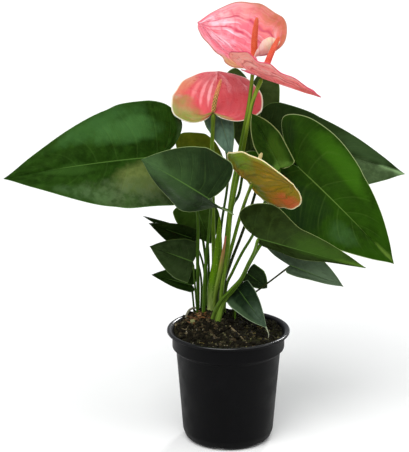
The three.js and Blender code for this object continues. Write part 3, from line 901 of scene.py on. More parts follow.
# Stems start this high, inside the peat
FOOT_DEPTH_Z = 98.0
DEEP_STEM = StemSkin(0x5E8428, 0x3A5814, 0x4A661E, 0x1C300A)
DUSKY_STEM = StemSkin(0x343E1C, 0x262E10, 0x343C1A, 0x161C0A)
FLOWER_STEM = StemSkin(0x7C9A38, 0x607E1E, 0x7E9430, 0x2E4A0C)
THICK_FOOT_STEM = StemSkin(0x6E8A34, 0x486818, 0x62842A, 0x2A3A10)


@dataclass(frozen=True)
class Stem:
    """A petiole or flower stalk: its foot, the points it passes and its end radii, in millimetres."""

    foot: Pair
    route: tuple[Triple, ...]
    radii: Pair
    skin: StemSkin = StemSkin()
    swell: float = 0.2
    swell_length: float = 18
    sides: int = 14
    step: float = 4.0

    KNEE = 0.2
    KNEE_BELOW = 5
    KNEE_LENGTH = 6
    RIDGE = 0.03
    FEWEST_ROWS = 12

    def build(self, name: str, slot: str, head: Triple) -> None:
        """Makes the stem up to its head, the blade's base."""
        route = Route([(*self.foot, FOOT_DEPTH_Z), *self.route, head])
        low, high = self.radii

        def radius(around: Array, along: Array) -> Array:
            """Tapers upwards, with a wider foot, a knee under the blade and faint ridges."""
            plain = low + (high - low) * along
            foot = self.swell * np.exp(-((along * route.length / self.swell_length) ** 2))
            below = (1 - along) * route.length
            knee = self.KNEE * np.exp(-(((below - self.KNEE_BELOW) / self.KNEE_LENGTH) ** 2))
            return plain * (1 + foot + knee + self.RIDGE * np.cos(6 * np.pi * around))

        rows = max(self.FEWEST_ROWS, round(route.length / self.step))
        piece = smoothed(tube(name, route, radius, self.sides, rows))
        hand_over(piece, slot, [self.skin.build(name, route.length)], name)


@dataclass(frozen=True)
class Leaf:
    """A leaf with its blade and petiole."""

    blade: Blade
    stem: Stem
    detail: Detail
    skin: LeafSkin = LeafSkin()
    veins: Venation = Venation()
    under: LeafUnderside = LeafUnderside()

    THICKNESS = 0.7

    def build(self, name: str) -> None:
        """Makes the blade and the petiole of the leaf called name."""
        title = f"leaf_{name}_blade"
        piece = blade_piece(title, self.blade, Outline.LEAF, self.veins, self.detail, self.THICKNESS)
        half = sum(self.blade.half) / 2
        skins = [
            self.skin.build(f"leaf_{name}_upper", self.veins, half),
            self.under.build(f"leaf_{name}_under", self.veins, half),
        ]
        hand_over(piece, "leaf", skins, title)
        self.stem.build(f"leaf_{name}_petiole", "petiole", self.blade.base)


@dataclass(frozen=True)
class Spadix:
    """The spike of a flower: the way it points, its length and radius in millimetres, and its skin."""

    towards: Triple
    length: float
    radius: float
    skin: SpadixSkin = SpadixSkin()
    slot: str = "spadix_red"
    around: int = 9
    floret: float = 2.3

    RELIEF = 0.1
    TAPER = ((0, 0.05, 0.35, 0.7, 0.92, 0.98, 1), (0.8, 0.98, 1, 0.86, 0.62, 0.42, 0.2))
    ROWS_PER_MM = 3
    SIDES_PER_FLORET = 6
    BEND = 0.8
    SMOOTH_UNDER = 80

    def build(self, name: str, base: Triple) -> None:
        """Makes the spike that rises from base."""
        way = Vector(self.towards).normalized() * self.length
        bend = Vector((-way.z, 0, way.x)).normalized() * self.BEND
        middle = Vector(base) + way * 0.5 + bend
        route = Route([base, tuple(middle), tuple(Vector(base) + way)])
        along_count = self.length / self.floret
        rows = round(self.length * self.ROWS_PER_MM)

        def radius(around: Array, along: Array) -> Array:
            """Tapers to a blunt tip, with the florets as low diamonds between crossing spirals."""
            taper = np.interp(along, *self.TAPER)
            turns = [self.around * around + way * along_count * along for way in (1, -1)]
            near = np.minimum(*[np.abs(np.sin(np.pi * turn)) for turn in turns])
            return self.radius * taper * (1 - self.RELIEF + 2 * self.RELIEF * near**0.6)

        sides = self.around * self.SIDES_PER_FLORET
        piece = smoothed(tube(name, route, radius, sides, rows), self.SMOOTH_UNDER)
        hand_over(piece, self.slot, [self.skin.build(name, self.around, along_count)], name)


@dataclass(frozen=True)
class Flower:
    """A flower with its spathe, spadix and stalk."""

    blade: Blade
    spadix: Spadix
    stem: Stem
    upper: SpatheSkin
    under: SpatheSkin
    slot: str
    veins: Venation = Venation(count=8, sweep=0.12, quilt=0.5, arcs=3.5, pucker=1.1, groove=0.6, ripple=0.6)

    THICKNESS = 0.9

    def build(self, name: str) -> None:
        """Makes the pieces of the flower called name."""
        title = f"flower_{name}_spathe"
        piece = blade_piece(title, self.blade, Outline.SPATHE, self.veins, Detail.LARGE, self.THICKNESS)
        half = sum(self.blade.half) / 2
        skins = [
            self.upper.build(f"spathe_{name}_upper", self.veins, half),
            self.under.build(f"spathe_{name}_under", self.veins, half),
        ]
        hand_over(piece, self.slot, skins, title)
        self.spadix.build(f"flower_{name}_spadix", self.blade.base)
        self.stem.build(f"flower_{name}_peduncle", "peduncle", self.blade.base)


@dataclass(frozen=True)
class DripTip:
    """The thin dry end of a blade: its course from the blade, its width there and its tones."""

    course: tuple[Triple, ...]
    width: float
    skin: StemSkin

    THINNING = 0.75
    FACES = (8, 20)

    def build(self, name: str) -> None:
        """Makes the tip called name."""
        route = Route(self.course)
        half = self.width / 2
        tip = tube(name, route, lambda around, along: half * (1 - self.THINNING * along), *self.FACES)
        hand_over(smoothed(tip), "leaf", [self.skin.build(name, route.length)])


@dataclass(frozen=True)
class Flap:
    """A curled lobe at a spathe's margin: its seat, its free edge and how far it bulges, in millimetres."""

    seat: tuple[Triple, ...]
    crest: tuple[Triple, ...]
    bulge: float
    skin: SpatheSkin

    THICKNESS = 0.8
    FACES = (28, 20)
    FRILL = 0.5
    FRILL_TURN = 19
    VEINS = Venation(count=5, sweep=0.1, quilt=0, arcs=2)
    VEINED_HALF = 12

    def build(self, name: str, slot: str) -> None:
        """Makes the lobe called name."""
        low, high = Route(self.seat), Route(self.crest)

        def place(across: Array, along: Array) -> Array:
            """Points between the seat and the free edge, which bulge to the front."""
            points = low.at(across) * (1 - along)[:, None] + high.at(across) * along[:, None]
            points[:, 1] -= self.bulge * np.sin(np.pi * along) * np.sin(np.pi * np.clip(across, 0, 1)) ** 0.7
            points[:, 2] += self.FRILL * np.sin(self.FRILL_TURN * across) * along
            return points

        piece = laid_grid(name, *self.FACES, place)
        modify(piece, "SOLIDIFY", thickness=self.THICKNESS * MM, offset=0)
        hand_over(smoothed(piece), slot, [self.skin.build(name, self.VEINS, self.VEINED_HALF)])


SHADED_LEAF = LeafSkin(0x0C1604, 0x141F08, 0x1E2C10, rim=0x33441E)
# The leaves' patches are mostly painted light: painted highlights and sheen where a blade faces the light,
# painted shade where it lies in shadow; a few give a blade's own tone.
LEAVES = {
    "big_left": Leaf(
        Blade(
            (-65, -5, 285), (-209, -45, 273), (0.1, -0.8, 0.6), (52, 58),
            lobe=(0.19, 0.19), full=(1, 1.25), arch=5, bow=6, wave=3,
        ),
        Stem(
            (-30, 30), ((-29.7, 24, 143.3), (-30, 8, 177), (-30, 3, 226.5), (-36.2, 2, 262.3)),
            (1.8, 1.5), DEEP_STEM,
        ),
        Detail.LARGE,
        LeafSkin(
            0x0F2403, 0x183006, 0x284812, rim=0x4C6C34,
            patches=(
                # Painted highlights: bands on the upper half, a glint at the right lobe, and olive-grey
                # painted reflection on the crinkled lower half and its margin.
                Patch(0.88, 0.57, 0.16, 0.18, 0x3A6230, 0.7), Patch(0.76, 0.47, 0.14, 0.16, 0x3E6632, 0.75),
                Patch(0.96, 0.2, 0.1, 0.08, 0x3E4E38, 0.5, 0.6), Patch(0.44, 0.72, 0.12, 0.14, 0x2E4C1A, 0.7),
                Patch(0.29, 0.43, 0.2, 0.12, 0x66723C, 0.9, 0.3),
                Patch(0.14, 0.48, 0.2, 0.2, 0x4C5C3C, 0.8, 0.6),
                Patch(0.1, 0.64, 0.12, 0.12, 0x46603A, 0.6, 0.6),
            ),
        ),
    ),
    "mid_left": Leaf(
        Blade(
            (-20, -72, 261), (-81, -60, 295), (0.2, -0.9, 0.4), (36, 42),
            lobe=(0.38, 0.12), full=(1, 0.8), fold=(-58, 0), turn=(-45, 0), arch=4, bow=3, wave=1.5,
        ),
        Stem(
            (-24.5, 24), ((-23.6, 13, 148.9), (-20.9, 4, 190.3), (-18.2, -8, 221.6), (-17.2, -24, 247.4)),
            (1.8, 1.4), DEEP_STEM,
        ),
        Detail.MEDIUM,
        LeafSkin(
            0x14200F, 0x1E2E19, 0x2A3C22, rim=0x8CA068,
            patches=(
                Patch(0.4, 0.62, 0.34, 0.2, 0x314827, 0.8), Patch(0.5, 0.92, 0.8, 0.24, 0x3E5834, 0.9),
                Patch(0.85, 0.4, 0.3, 0.14, 0x121D10, 0.8),
            ),
        ),
    ),
    "olive_back": Leaf(
        Blade(
            (-43, 45, 272), (-4, 50, 269), (0, -0.8, 0.6), (26, 20),
            lobe=(0.22, 0.22), full=(0.5, 0.5), fold=(10, 10), wave=1,
        ),
        Stem(
            (-21.5, 30), ((-21.3, 32, 140.8), (-22.8, 40, 174.6), (-29.7, 48, 213.4)), (1.4, 1.2),
            DEEP_STEM,
        ),
        Detail.SMALL,
        LeafSkin(
            # The patch paints light over the right half, which lies in shade.
            0x4A5814, 0x5C6A16, 0x6E7A22, vein=0x8A9440, patches=(Patch(0.8, 0.5, 0.36, 0.4, 0x8E9C38, 0.9),),
        ),
    ),
    "hanging": Leaf(
        Blade((-10, 32, 322), (3, 20, 278), (0, -0.9, 0.3), (12, 16), lobe=(0.08, 0.08), fold=(5, 5), wave=1),
        Stem((-11, 39.2), ((-10, 38, 139), (-7, 50, 198), (0, 55, 257)), (1.4, 1.2), DEEP_STEM),
        Detail.SMALL,
        LeafSkin(
            0x44584A, 0x567060, 0x6A8470, vein=0x86986E,
            patches=(Patch(0.6, 0.15, 0.7, 0.3, 0x80A08E, 0.9),),
        ),
    ),
    "back": Leaf(
        Blade(
            (23, 97, 331), (21, 84, 261), (0, -0.9, 0.3), (29, 30),
            lobe=(0.28, 0.28), arch=2, bow=2, wave=1.5,
        ),
        Stem(
            (-6.3, 41.5), ((-4.3, 45, 147.1), (-0.3, 58, 176.6), (4.3, 72, 214.2), (13.6, 92, 234.1)),
            (1.6, 1.4), DEEP_STEM,
        ),
        Detail.MEDIUM,
        LeafSkin(0x263418, 0x34421F, 0x46542E),
    ),
    "far_right": Leaf(
        Blade(
            (43, 58, 293), (174, 52, 254), (0, -0.8, 0.6), (34, 50),
            lobe=(0.12, 0.12), full=(1.15, 0.85), arch=3, bow=3, wave=2, phase=0.3,
        ),
        Stem(
            (-5, 35), ((-4.4, 37, 141.3), (3, 45, 165.8), (13, 54, 190.2), (23.9, 60, 221.5)), (1.6, 1.4),
            DUSKY_STEM,
        ),
        Detail.LARGE,
        LeafSkin(
            0x121E0A, 0x1A2610, 0x243418, rim=0x54703A,
            patches=(
                # The pale patches towards the tip are painted sheen.
                Patch(0.2, 0.74, 0.26, 0.16, 0x34482A, 0.8), Patch(0.75, 0.8, 0.4, 0.22, 0x4E6240, 0.85, 0.4),
                Patch(0.6, 0.97, 0.7, 0.13, 0x84A470, 0.9),
            ),
        ),
    ),
    "big_right": Leaf(
        Blade(
            (67, 12, 270), (157, -22, 184), (0.15, -0.85, 0.5), (50, 50),
            lobe=(0.36, 0.36), full=(0.9, 0.9), slim=(0.15, 0), fold=(6, 6),
            arch=4, bow=4, wave=2, phase=0.6,
        ),
        Stem(
            (-15, 7.5),
            (
                (-5.3, 2.5, 136.4), (4.4, 5, 149.4), (13.2, 10, 160.1),
                (20, 11, 174), (29.6, 13, 190.7), (43, 14, 211.6),
            ),
            (2, 1.6), THICK_FOOT_STEM, 0.9, 42,
        ),
        Detail.LARGE,
        LeafSkin(
            0x162C03, 0x1E3C04, 0x28480A, vein=0x7A9A48, rim=0xA4B47C,
            patches=(
                # Painted shade on the left lobe, near the midrib and on the lower half; a lighter painted
                # band above the midrib and a hazy painted sheen low on the blade.
                Patch(0.14, 0.48, 0.14, 0.16, 0x34600C, 0.7), Patch(0.32, 0.52, 0.1, 0.12, 0x1A3404, 0.6),
                Patch(0.2, 0.2, 0.24, 0.1, 0x12240A, 0.9), Patch(0.84, 0.44, 0.3, 0.16, 0x0F200C, 0.9),
                Patch(0.64, 0.5, 0.12, 0.1, 0x14280C, 0.7), Patch(0.78, 0.66, 0.18, 0.08, 0x38582E, 0.6, 0.3),
                Patch(0.4, 0.93, 0.4, 0.1, 0x5E7A2E, 0.8),
            ),
        ),
    ),
    "front_fold": Leaf(
        Blade(
            (48, -18, 277), (21, -8, 327), (0.1, -0.95, 0.2), (13, 15),
            lobe=(0.05, 0.05), full=(0.5, 0.5), fold=(4, 4), wave=0.8,
        ),
        Stem(
            (-4.2, 22.5),
            ((-2.6, 18, 145.3), (4.5, 13, 166.3), (13, 6, 186.7), (24.1, -7, 211.1), (32, -18, 240)),
            (1.6, 1.3),
        ),
        Detail.SMALL,
        LeafSkin(
            0x162C08, 0x20380C, 0x2C4A12, rim=0xA0B070, rib_show=0.25,
            patches=(Patch(0.66, 0.5, 0.3, 0.16, 0x3E5E18, 0.7), Patch(0.5, 0.3, 0.7, 0.12, 0x567E30, 0.85)),
        ),
    ),
    "low_right_long": Leaf(
        Blade(
            (27, -42, 215), (124, -84, 199), (-0.1, -0.75, 0.65), (36, 34),
            lobe=(0.25, 0.05), slim=(0.4, 0), fold=(5, -100), wave=1.5, phase=0.2,
        ),
        Stem(
            (-19.5, 15.5),
            ((-10.6, 2, 133.5), (1.2, -3, 151), (11.4, -8, 164.7), (18.2, -18, 182.8), (23.5, -28, 197.7)),
            (1.6, 1.4), THICK_FOOT_STEM, 1.1, 40,
        ),
        Detail.MEDIUM,
        LeafSkin(
            0x1C260C, 0x263416, 0x32441C, rim=0x96A868, wax=0.0,
            patches=(Patch(0.4, 0.7, 0.5, 0.24, 0x34501A, 0.8), Patch(0.5, 0.98, 0.7, 0.2, 0x4A6822, 0.9)),
        ),
        # Painted shade on the folded right half of the lower face.
        under=LeafUnderside(shaded_right_half=0x18260C),
    ),
    "low_right_dark": Leaf(
        Blade(
            (60, 5, 174), (111, -5, 156), (0, -0.8, 0.6), (25, 9),
            lobe=(0.62, 0.05), slim=(0.12, 0.12), wave=1,
        ),
        Stem((3, 19), ((8, 16, 133), (25, 12, 144)), (1, 0.8), DUSKY_STEM),
        Detail.SMALL,
        # The patch towards the tip is a painted highlight.
        LeafSkin(0x343E32, 0x42503E, 0x546450, patches=(Patch(0.5, 0.8, 0.7, 0.4, 0x62765C, 0.8),)),
    ),
    "small_round": Leaf(
        Blade((19, 25, 160), (38, 12, 149), (0, -0.9, 0.4), (12, 9), lobe=(0.06, 0.14), full=(0.56, 0.62)),
        Stem((3, 25), ((7, 26, 136),), (0.9, 0.8), DUSKY_STEM),
        Detail.TINY,
        LeafSkin(0x141E10, 0x1C2816, 0x263420),
    ),
    "over_soil": Leaf(
        Blade(
            (9, 14, 148.4), (36, -34.6, 124), (0, -0.9, 0.4), (13, 17), lobe=(0.02, 0.02), full=(1, 0.9),
            wave=0.8,
        ),
        Stem((6, 13), ((7.5, 12.5, 138),), (1, 0.9)),
        Detail.SMALL,
        LeafSkin(
            0x0E1A10, 0x182618, 0x243422, rim=0x8A9C7C,
            patches=(
                Patch(0.4, 0.85, 0.8, 0.3, 0x485A48, 0.85, 0.3), Patch(0.9, 0.5, 0.14, 0.3, 0x3E5238, 0.8),
            ),
        ),
    ),
    "left_thin": Leaf(
        Blade(
            (-35, 50, 191.7), (-85, 62, 208.7), (0, -0.8, 0.6), (10, 6), lobe=(0.15, 0.15),
            slim=(0.3, 0.3),
        ),
        Stem((-25, 38), ((-23.3, 43, 142.5), (-25.3, 46, 165.5)), (1.2, 1), DEEP_STEM),
        Detail.TINY,
        SHADED_LEAF,
    ),
    "left_dark": Leaf(
        Blade((-36, 30, 195), (-78, 30, 210), (0, -0.8, 0.6), (16, 10), lobe=(0.2, 0.2), wave=0.8),
        Stem(
            (-27.5, 34.5), ((-26.3, 33, 145.7), (-29.9, 31, 170.1), (-34.1, 31, 186.5)), (1.2, 1),
            DEEP_STEM,
        ),
        Detail.SMALL,
        SHADED_LEAF,
    ),
    "left_mid": Leaf(
        Blade(
            (-34.5, 10, 176.7), (-76, -4, 196.4), (0, -0.9, 0.4), (22, 19),
            lobe=(0.02, 0.02), full=(0.95, 0.9), fold=(4, 4), wave=0.8,
        ),
        Stem((-28.5, 25), ((-31.7, 19, 137.7),), (1.1, 0.9), DEEP_STEM),
        Detail.SMALL,
        LeafSkin(0x1C2812, 0x26341A, 0x344226, rim=0x4E6232),
    ),
    "left_low": Leaf(
        Blade((-36, 28, 147), (-76, 34, 156), (0, -0.8, 0.6), (8, 17), lobe=(0.1, 0.1), wave=0.6),
        Stem((-32, 34.5), ((-34.7, 31, 131.8),), (1.1, 0.9), DEEP_STEM),
        Detail.TINY,
        LeafSkin(0x0E1C06, 0x16260A, 0x20340F, rim=0x46602C),
    ),
    "centre_back": Leaf(
        Blade(
            (-33, 44, 226), (-17, 37, 187), (0, -0.9, 0.4), (19, 24), lobe=(0.1, 0.1), full=(0.6, 1),
            wave=1,
        ),
        Stem((-20, 38.5), ((-19, 39, 140), (-20, 44, 185), (-25.5, 45.5, 211)), (1.3, 1.1), DEEP_STEM),
        Detail.SMALL,
        LeafSkin(0x1E300A, 0x2A4010, 0x38501C),
    ),
}

PINK_UNDER = SpatheSkin(0xE09A80, 0xE8B48C, 0xC87060, 0xDCC08C)
FLOWERS = {
    "top": Flower(
        Blade(
            (23, 5, 379), (-30, 50, 404), (-0.27, -0.66, 0.51), (41, 45),
            lobe=(0.24, 0.24), full=(1.4, 0.7), slim=(0.2, 0), fold=(45, 0), arch=-3, wave=1.5, waves=2.5,
        ),
        Spadix((0.05, -0.35, 0.94), 41, 2.9),
        Stem(
            (-8.5, 28), ((-6.6, 24.5, 145), (2, 8, 239), (10, 0, 288), (19, -2, 339)), (2.2, 1.8),
            FLOWER_STEM,
        ),
        SpatheSkin(
            0xE87484, 0xFCD8E2, 0xC03858, 0xB07058, vein_show=0.8, streak_show=1.0,
            patches=(
                # The near-white patches are painted highlight on the glossy spathe; the orange, tan and dark
                # patches are its own colour.
                Patch(0.76, 0.74, 0.24, 0.18, 0xFCDCE6, 0.7, 0.8),
                Patch(0.4, 0.66, 0.24, 0.18, 0xFBD0DC, 0.6, 0.8),
                Patch(0.82, 0.3, 0.2, 0.2, 0xE88470, 0.6, 0.4),
                Patch(1, 0.34, 0.17, 0.34, 0xB06A40, 0.9, 0.3),
                Patch(0.9, 0.6, 0.2, 0.16, 0xF4A8A0, 0.6, 0.6), Patch(0.02, 0.38, 0.12, 0.14, 0xC0985E, 0.9),
                Patch(0.25, 0.32, 0.16, 0.1, 0xE89088, 0.7, 0.6), Patch(0.5, 1, 0.3, 0.04, 0x6A3A4A),
            ),
        ),
        PINK_UNDER,
        "spathe_pink",
    ),
    "right": Flower(
        Blade(
            (29, -45, 368), (81, -68, 354), (0.4, 0.24, 0.87), (46, 46),
            lobe=(0.5, 0.5), fold=(8, 7), turn=(0, 8), wave=1.5, waves=2.5,
        ),
        Spadix((0.38, 0.05, 0.92), 40, 2.8, SpadixSkin(0xE84E3C, 0xE86038, 0xC83830, 0xF89070)),
        Stem(
            (-6.8, 16),
            ((-6.6, 9, 146.1), (-1.2, -1, 191.7), (1.9, -10, 233), (12, -22, 292), (20, -38, 341)),
            (2.2, 1.8), FLOWER_STEM,
        ),
        SpatheSkin(
            0xDC5C6C, 0xEE98A0, 0xBC3A50, 0xC83A5A, patches=(Patch(0.8, 0.05, 0.3, 0.12, 0xE88A58, 0.7),),
        ),
        SpatheSkin(
            0xF07878, 0xFFD0C8, 0xA83844, 0xD0686E, vein_show=0.7, streak_show=1.0,
            patches=(
                # The pale patches are painted glints along the upper margin; the darker crinkled ones are
                # painted shade in the crinkles.
                Patch(0.9, 0.28, 0.24, 0.16, 0xFCB0A0, 0.95, 0.5),
                Patch(0.95, 0.6, 0.16, 0.24, 0xFCC8BC, 0.9, 0.8),
                Patch(0.7, 0.45, 0.1, 0.2, 0xFFD4C8, 0.8, 0.9),
                Patch(0.55, 0.4, 0.2, 0.2, 0xC44C50, 0.6, 0.8),
                Patch(0.6, 0.8, 0.3, 0.12, 0xB85040, 0.7, 0.8), Patch(0.5, 0.97, 0.4, 0.06, 0x9A4434, 0.8),
            ),
        ),
        "spathe_coral",
    ),
    "left": Flower(
        Blade(
            (-15, 20, 323), (-9, 87, 350), (0, -0.4, 0.92), (40, 46),
            lobe=(0.215, 0.16), full=(1.2, 1.2), fold=(4, 4), bow=6, wave=1.5, waves=2.5,
        ),
        Spadix(
            (0.2, -0.35, 0.92), 37, 2.1,
            SpadixSkin(0xD8A850, 0xE88450, 0x2E1C06, 0xF8C088, (0.35, 0.75), (1, 0.25)),
            "spadix_orange", 5, 3.6,
        ),
        Stem((-15.5, 36.5), ((-14, 33, 142), (-15, 26, 223), (-16, 20, 281)), (2.2, 1.9), FLOWER_STEM),
        SpatheSkin(
            0xD4525A, 0xE87C80, 0xB03848, 0xF0E8D0, vein_show=0.25, streak_show=0.3,
            patches=(
                # The three thin pale patches are painted highlights on two puckered arcs left of the spadix;
                # the green, olive and tan patches are the spathe's own colour.
                Patch(0.34, 0.56, 0.03, 0.2, 0xF8A0A4, 0.9), Patch(0.43, 0.56, 0.025, 0.24, 0xFAACB0, 0.9),
                Patch(0.24, 0.56, 0.04, 0.12, 0xF09494, 0.6), Patch(0.05, 0.6, 0.14, 0.14, 0xD08A68, 0.85),
                Patch(0.05, 0.33, 0.26, 0.2, 0x86964A, 0.95, 0.2),
                Patch(0.16, 0.22, 0.26, 0.18, 0x82923E, 0.9, 0.2),
                Patch(0.34, 0.12, 0.16, 0.14, 0x76882E, 0.9), Patch(0.8, 0.12, 0.24, 0.13, 0x9A9A50, 0.8),
            ),
        ),
        PINK_UNDER,
        "spathe_coral",
        Venation(count=8, sweep=0.12, quilt=0.3, arcs=2.5, pucker=0.6, groove=0.6, ripple=0.6),
    ),
    "back_view": Flower(
        Blade(
            (21, -38, 267), (57, -84, 277), (0.56, 0.5, 0.67), (40, 40),
            lobe=(0.2, 0.2), full=(0.8, 0.8), fold=(5, 5), wave=0.7, waves=2.5,
        ),
        Spadix(
            (0.3, 0.3, 0.9), 30, 2.4,
            SpadixSkin(0xCFC078, 0xD9CF8A, 0x8E7A3C, 0xECE4B0), "spadix_orange",
        ),
        Stem((-8.8, 21), ((-6.3, 15.4, 148), (7, 8, 208), (15, -8, 241)), (2, 1.6), FLOWER_STEM),
        SpatheSkin(0xC8784A, 0xD8986A, 0xA85038, 0xE0D8A8),
        SpatheSkin(
            0x786806, 0xA88414, 0x505006, 0xECE4B8, gloss=0.4, vein_show=0.75, streak_show=0.8,
            patches=(
                Patch(0.9, 0.4, 0.26, 0.15, 0x66861A, 0.95), Patch(1, 0.6, 0.14, 0.2, 0x8E9A30, 0.7),
                Patch(0.3, 0.3, 0.4, 0.1, 0x4E6410, 0.9), Patch(0.1, 0.7, 0.3, 0.14, 0x8A7A1C, 0.7),
                Patch(0.12, 0.5, 0.34, 0.2, 0xA4661C, 0.6), Patch(0.1, 0.54, 0.22, 0.14, 0xB85430, 0.75),
            ),
        ),
        "spathe_olive",
    ),
}


CURLED_LOBE = Flap(
    ((22.1, 4, 377.3), (27.6, 2, 380), (34, 0.5, 382.1), (40.5, -1, 386.1), (45.1, 0, 390.2)),
    ((23.8, 1, 381.6), (28.3, -3, 390.7), (33.7, -5, 397.5), (40.2, -5, 397.5), (46.8, -3, 394)),
    3.2,
    SpatheSkin(
        0xF2C8BC, 0xFCF0E8, 0xD09090, 0xEEE8C8, patches=(Patch(0.75, 0.6, 0.3, 0.6, 0xE4DAA8, 0.7, 0.4),),
    ),
)


DRY_TIP = StemSkin(0x8A9A80, 0xA8A890, 0xB4B09A, 0x7A8468)
DRIP_TIPS = {
    "leaf_over_soil_tip": DripTip(
        ((35, -33, 125.2), (36.8, -35.8, 121.5), (37.9, -37, 118), (37.2, -37.4, 114.6)), 1.6, DRY_TIP,
    ),
}


# Rods by the heart of the plant


@dataclass(frozen=True)
class Rod:
    """A sheath, cut stub or root: its route and its radii in millimetres."""

    route: tuple[Triple, ...]
    radii: tuple[float, ...]
    slot: str
    skin: StemSkin | Ground
    ridges: float = 0.05
    ridge_count: int = 5

    SIDES = 24
    ROW_LENGTH = 1.5
    FEWEST_ROWS = 20
    SWELL = 0.04
    SWELL_TURN = 17

    def build(self, name: str) -> None:
        """Makes the rod called name, ribbed along and a little uneven."""
        route = Route(self.route)
        shares = np.linspace(0, 1, len(self.radii))

        def radius(around: Array, along: Array) -> Array:
            """Follows the radii, with ridges along the rod and slow swells."""
            ribs = self.ridges * np.cos(2 * np.pi * self.ridge_count * around + 2 * along)
            swells = self.SWELL * np.sin(self.SWELL_TURN * along)
            return np.interp(along, shares, self.radii) * (1 + ribs + swells)

        rows = max(self.FEWEST_ROWS, round(route.length / self.ROW_LENGTH))
        piece = smoothed(tube(name, route, radius, self.SIDES, rows))
        skin = self.skin.build() if isinstance(self.skin, Ground) else self.skin.build(name, route.length)
        hand_over(piece, self.slot, [skin], name)


RODS = {
    "sheath_centre": Rod(
        (
            (-16, 25, FOOT_DEPTH_Z), (-15.5, 21.5, 130.7), (-14.6, 19, 147),
            (-11.5, 13.5, 172.3), (-9.6, 10, 196.6), (-8.8, 8, 223.2),
        ),
        (3, 5.2, 5.9, 5, 3, 0.8),
        "sheath", StemSkin(0xD0D88C, 0x527806, 0x668816, 0x34540A, 0.5), 0.1, 5,
    ),
    "sheath_pink": Rod(
        ((-12, 17.5, FOOT_DEPTH_Z), (-13.4, 11, 137.2), (-7.8, -0.5, 173.5), (-2.8, -9.5, 209.1)),
        (1.1, 1.5, 2.3, 0.5), "sheath_pink", StemSkin(0x6C8430, 0x68802E, 0xC0605A, 0x4A5E1C),
    ),
    "stub": Rod(((-34, 12, 104), (-34.5, 10.5, 111), (-35, 9, 117.5)), (2, 2.3, 2.6), "stub", Ground.STUB),
    "root": Rod(
        ((-1, 5, 116), (2, -1, 113.4), (10, -16, 110.4), (18, -41, 109.8)), (1.1, 1, 0.8, 0.6),
        "root", Ground.ROOT, 0.12, 2,
    ),
}


# Pot and soil


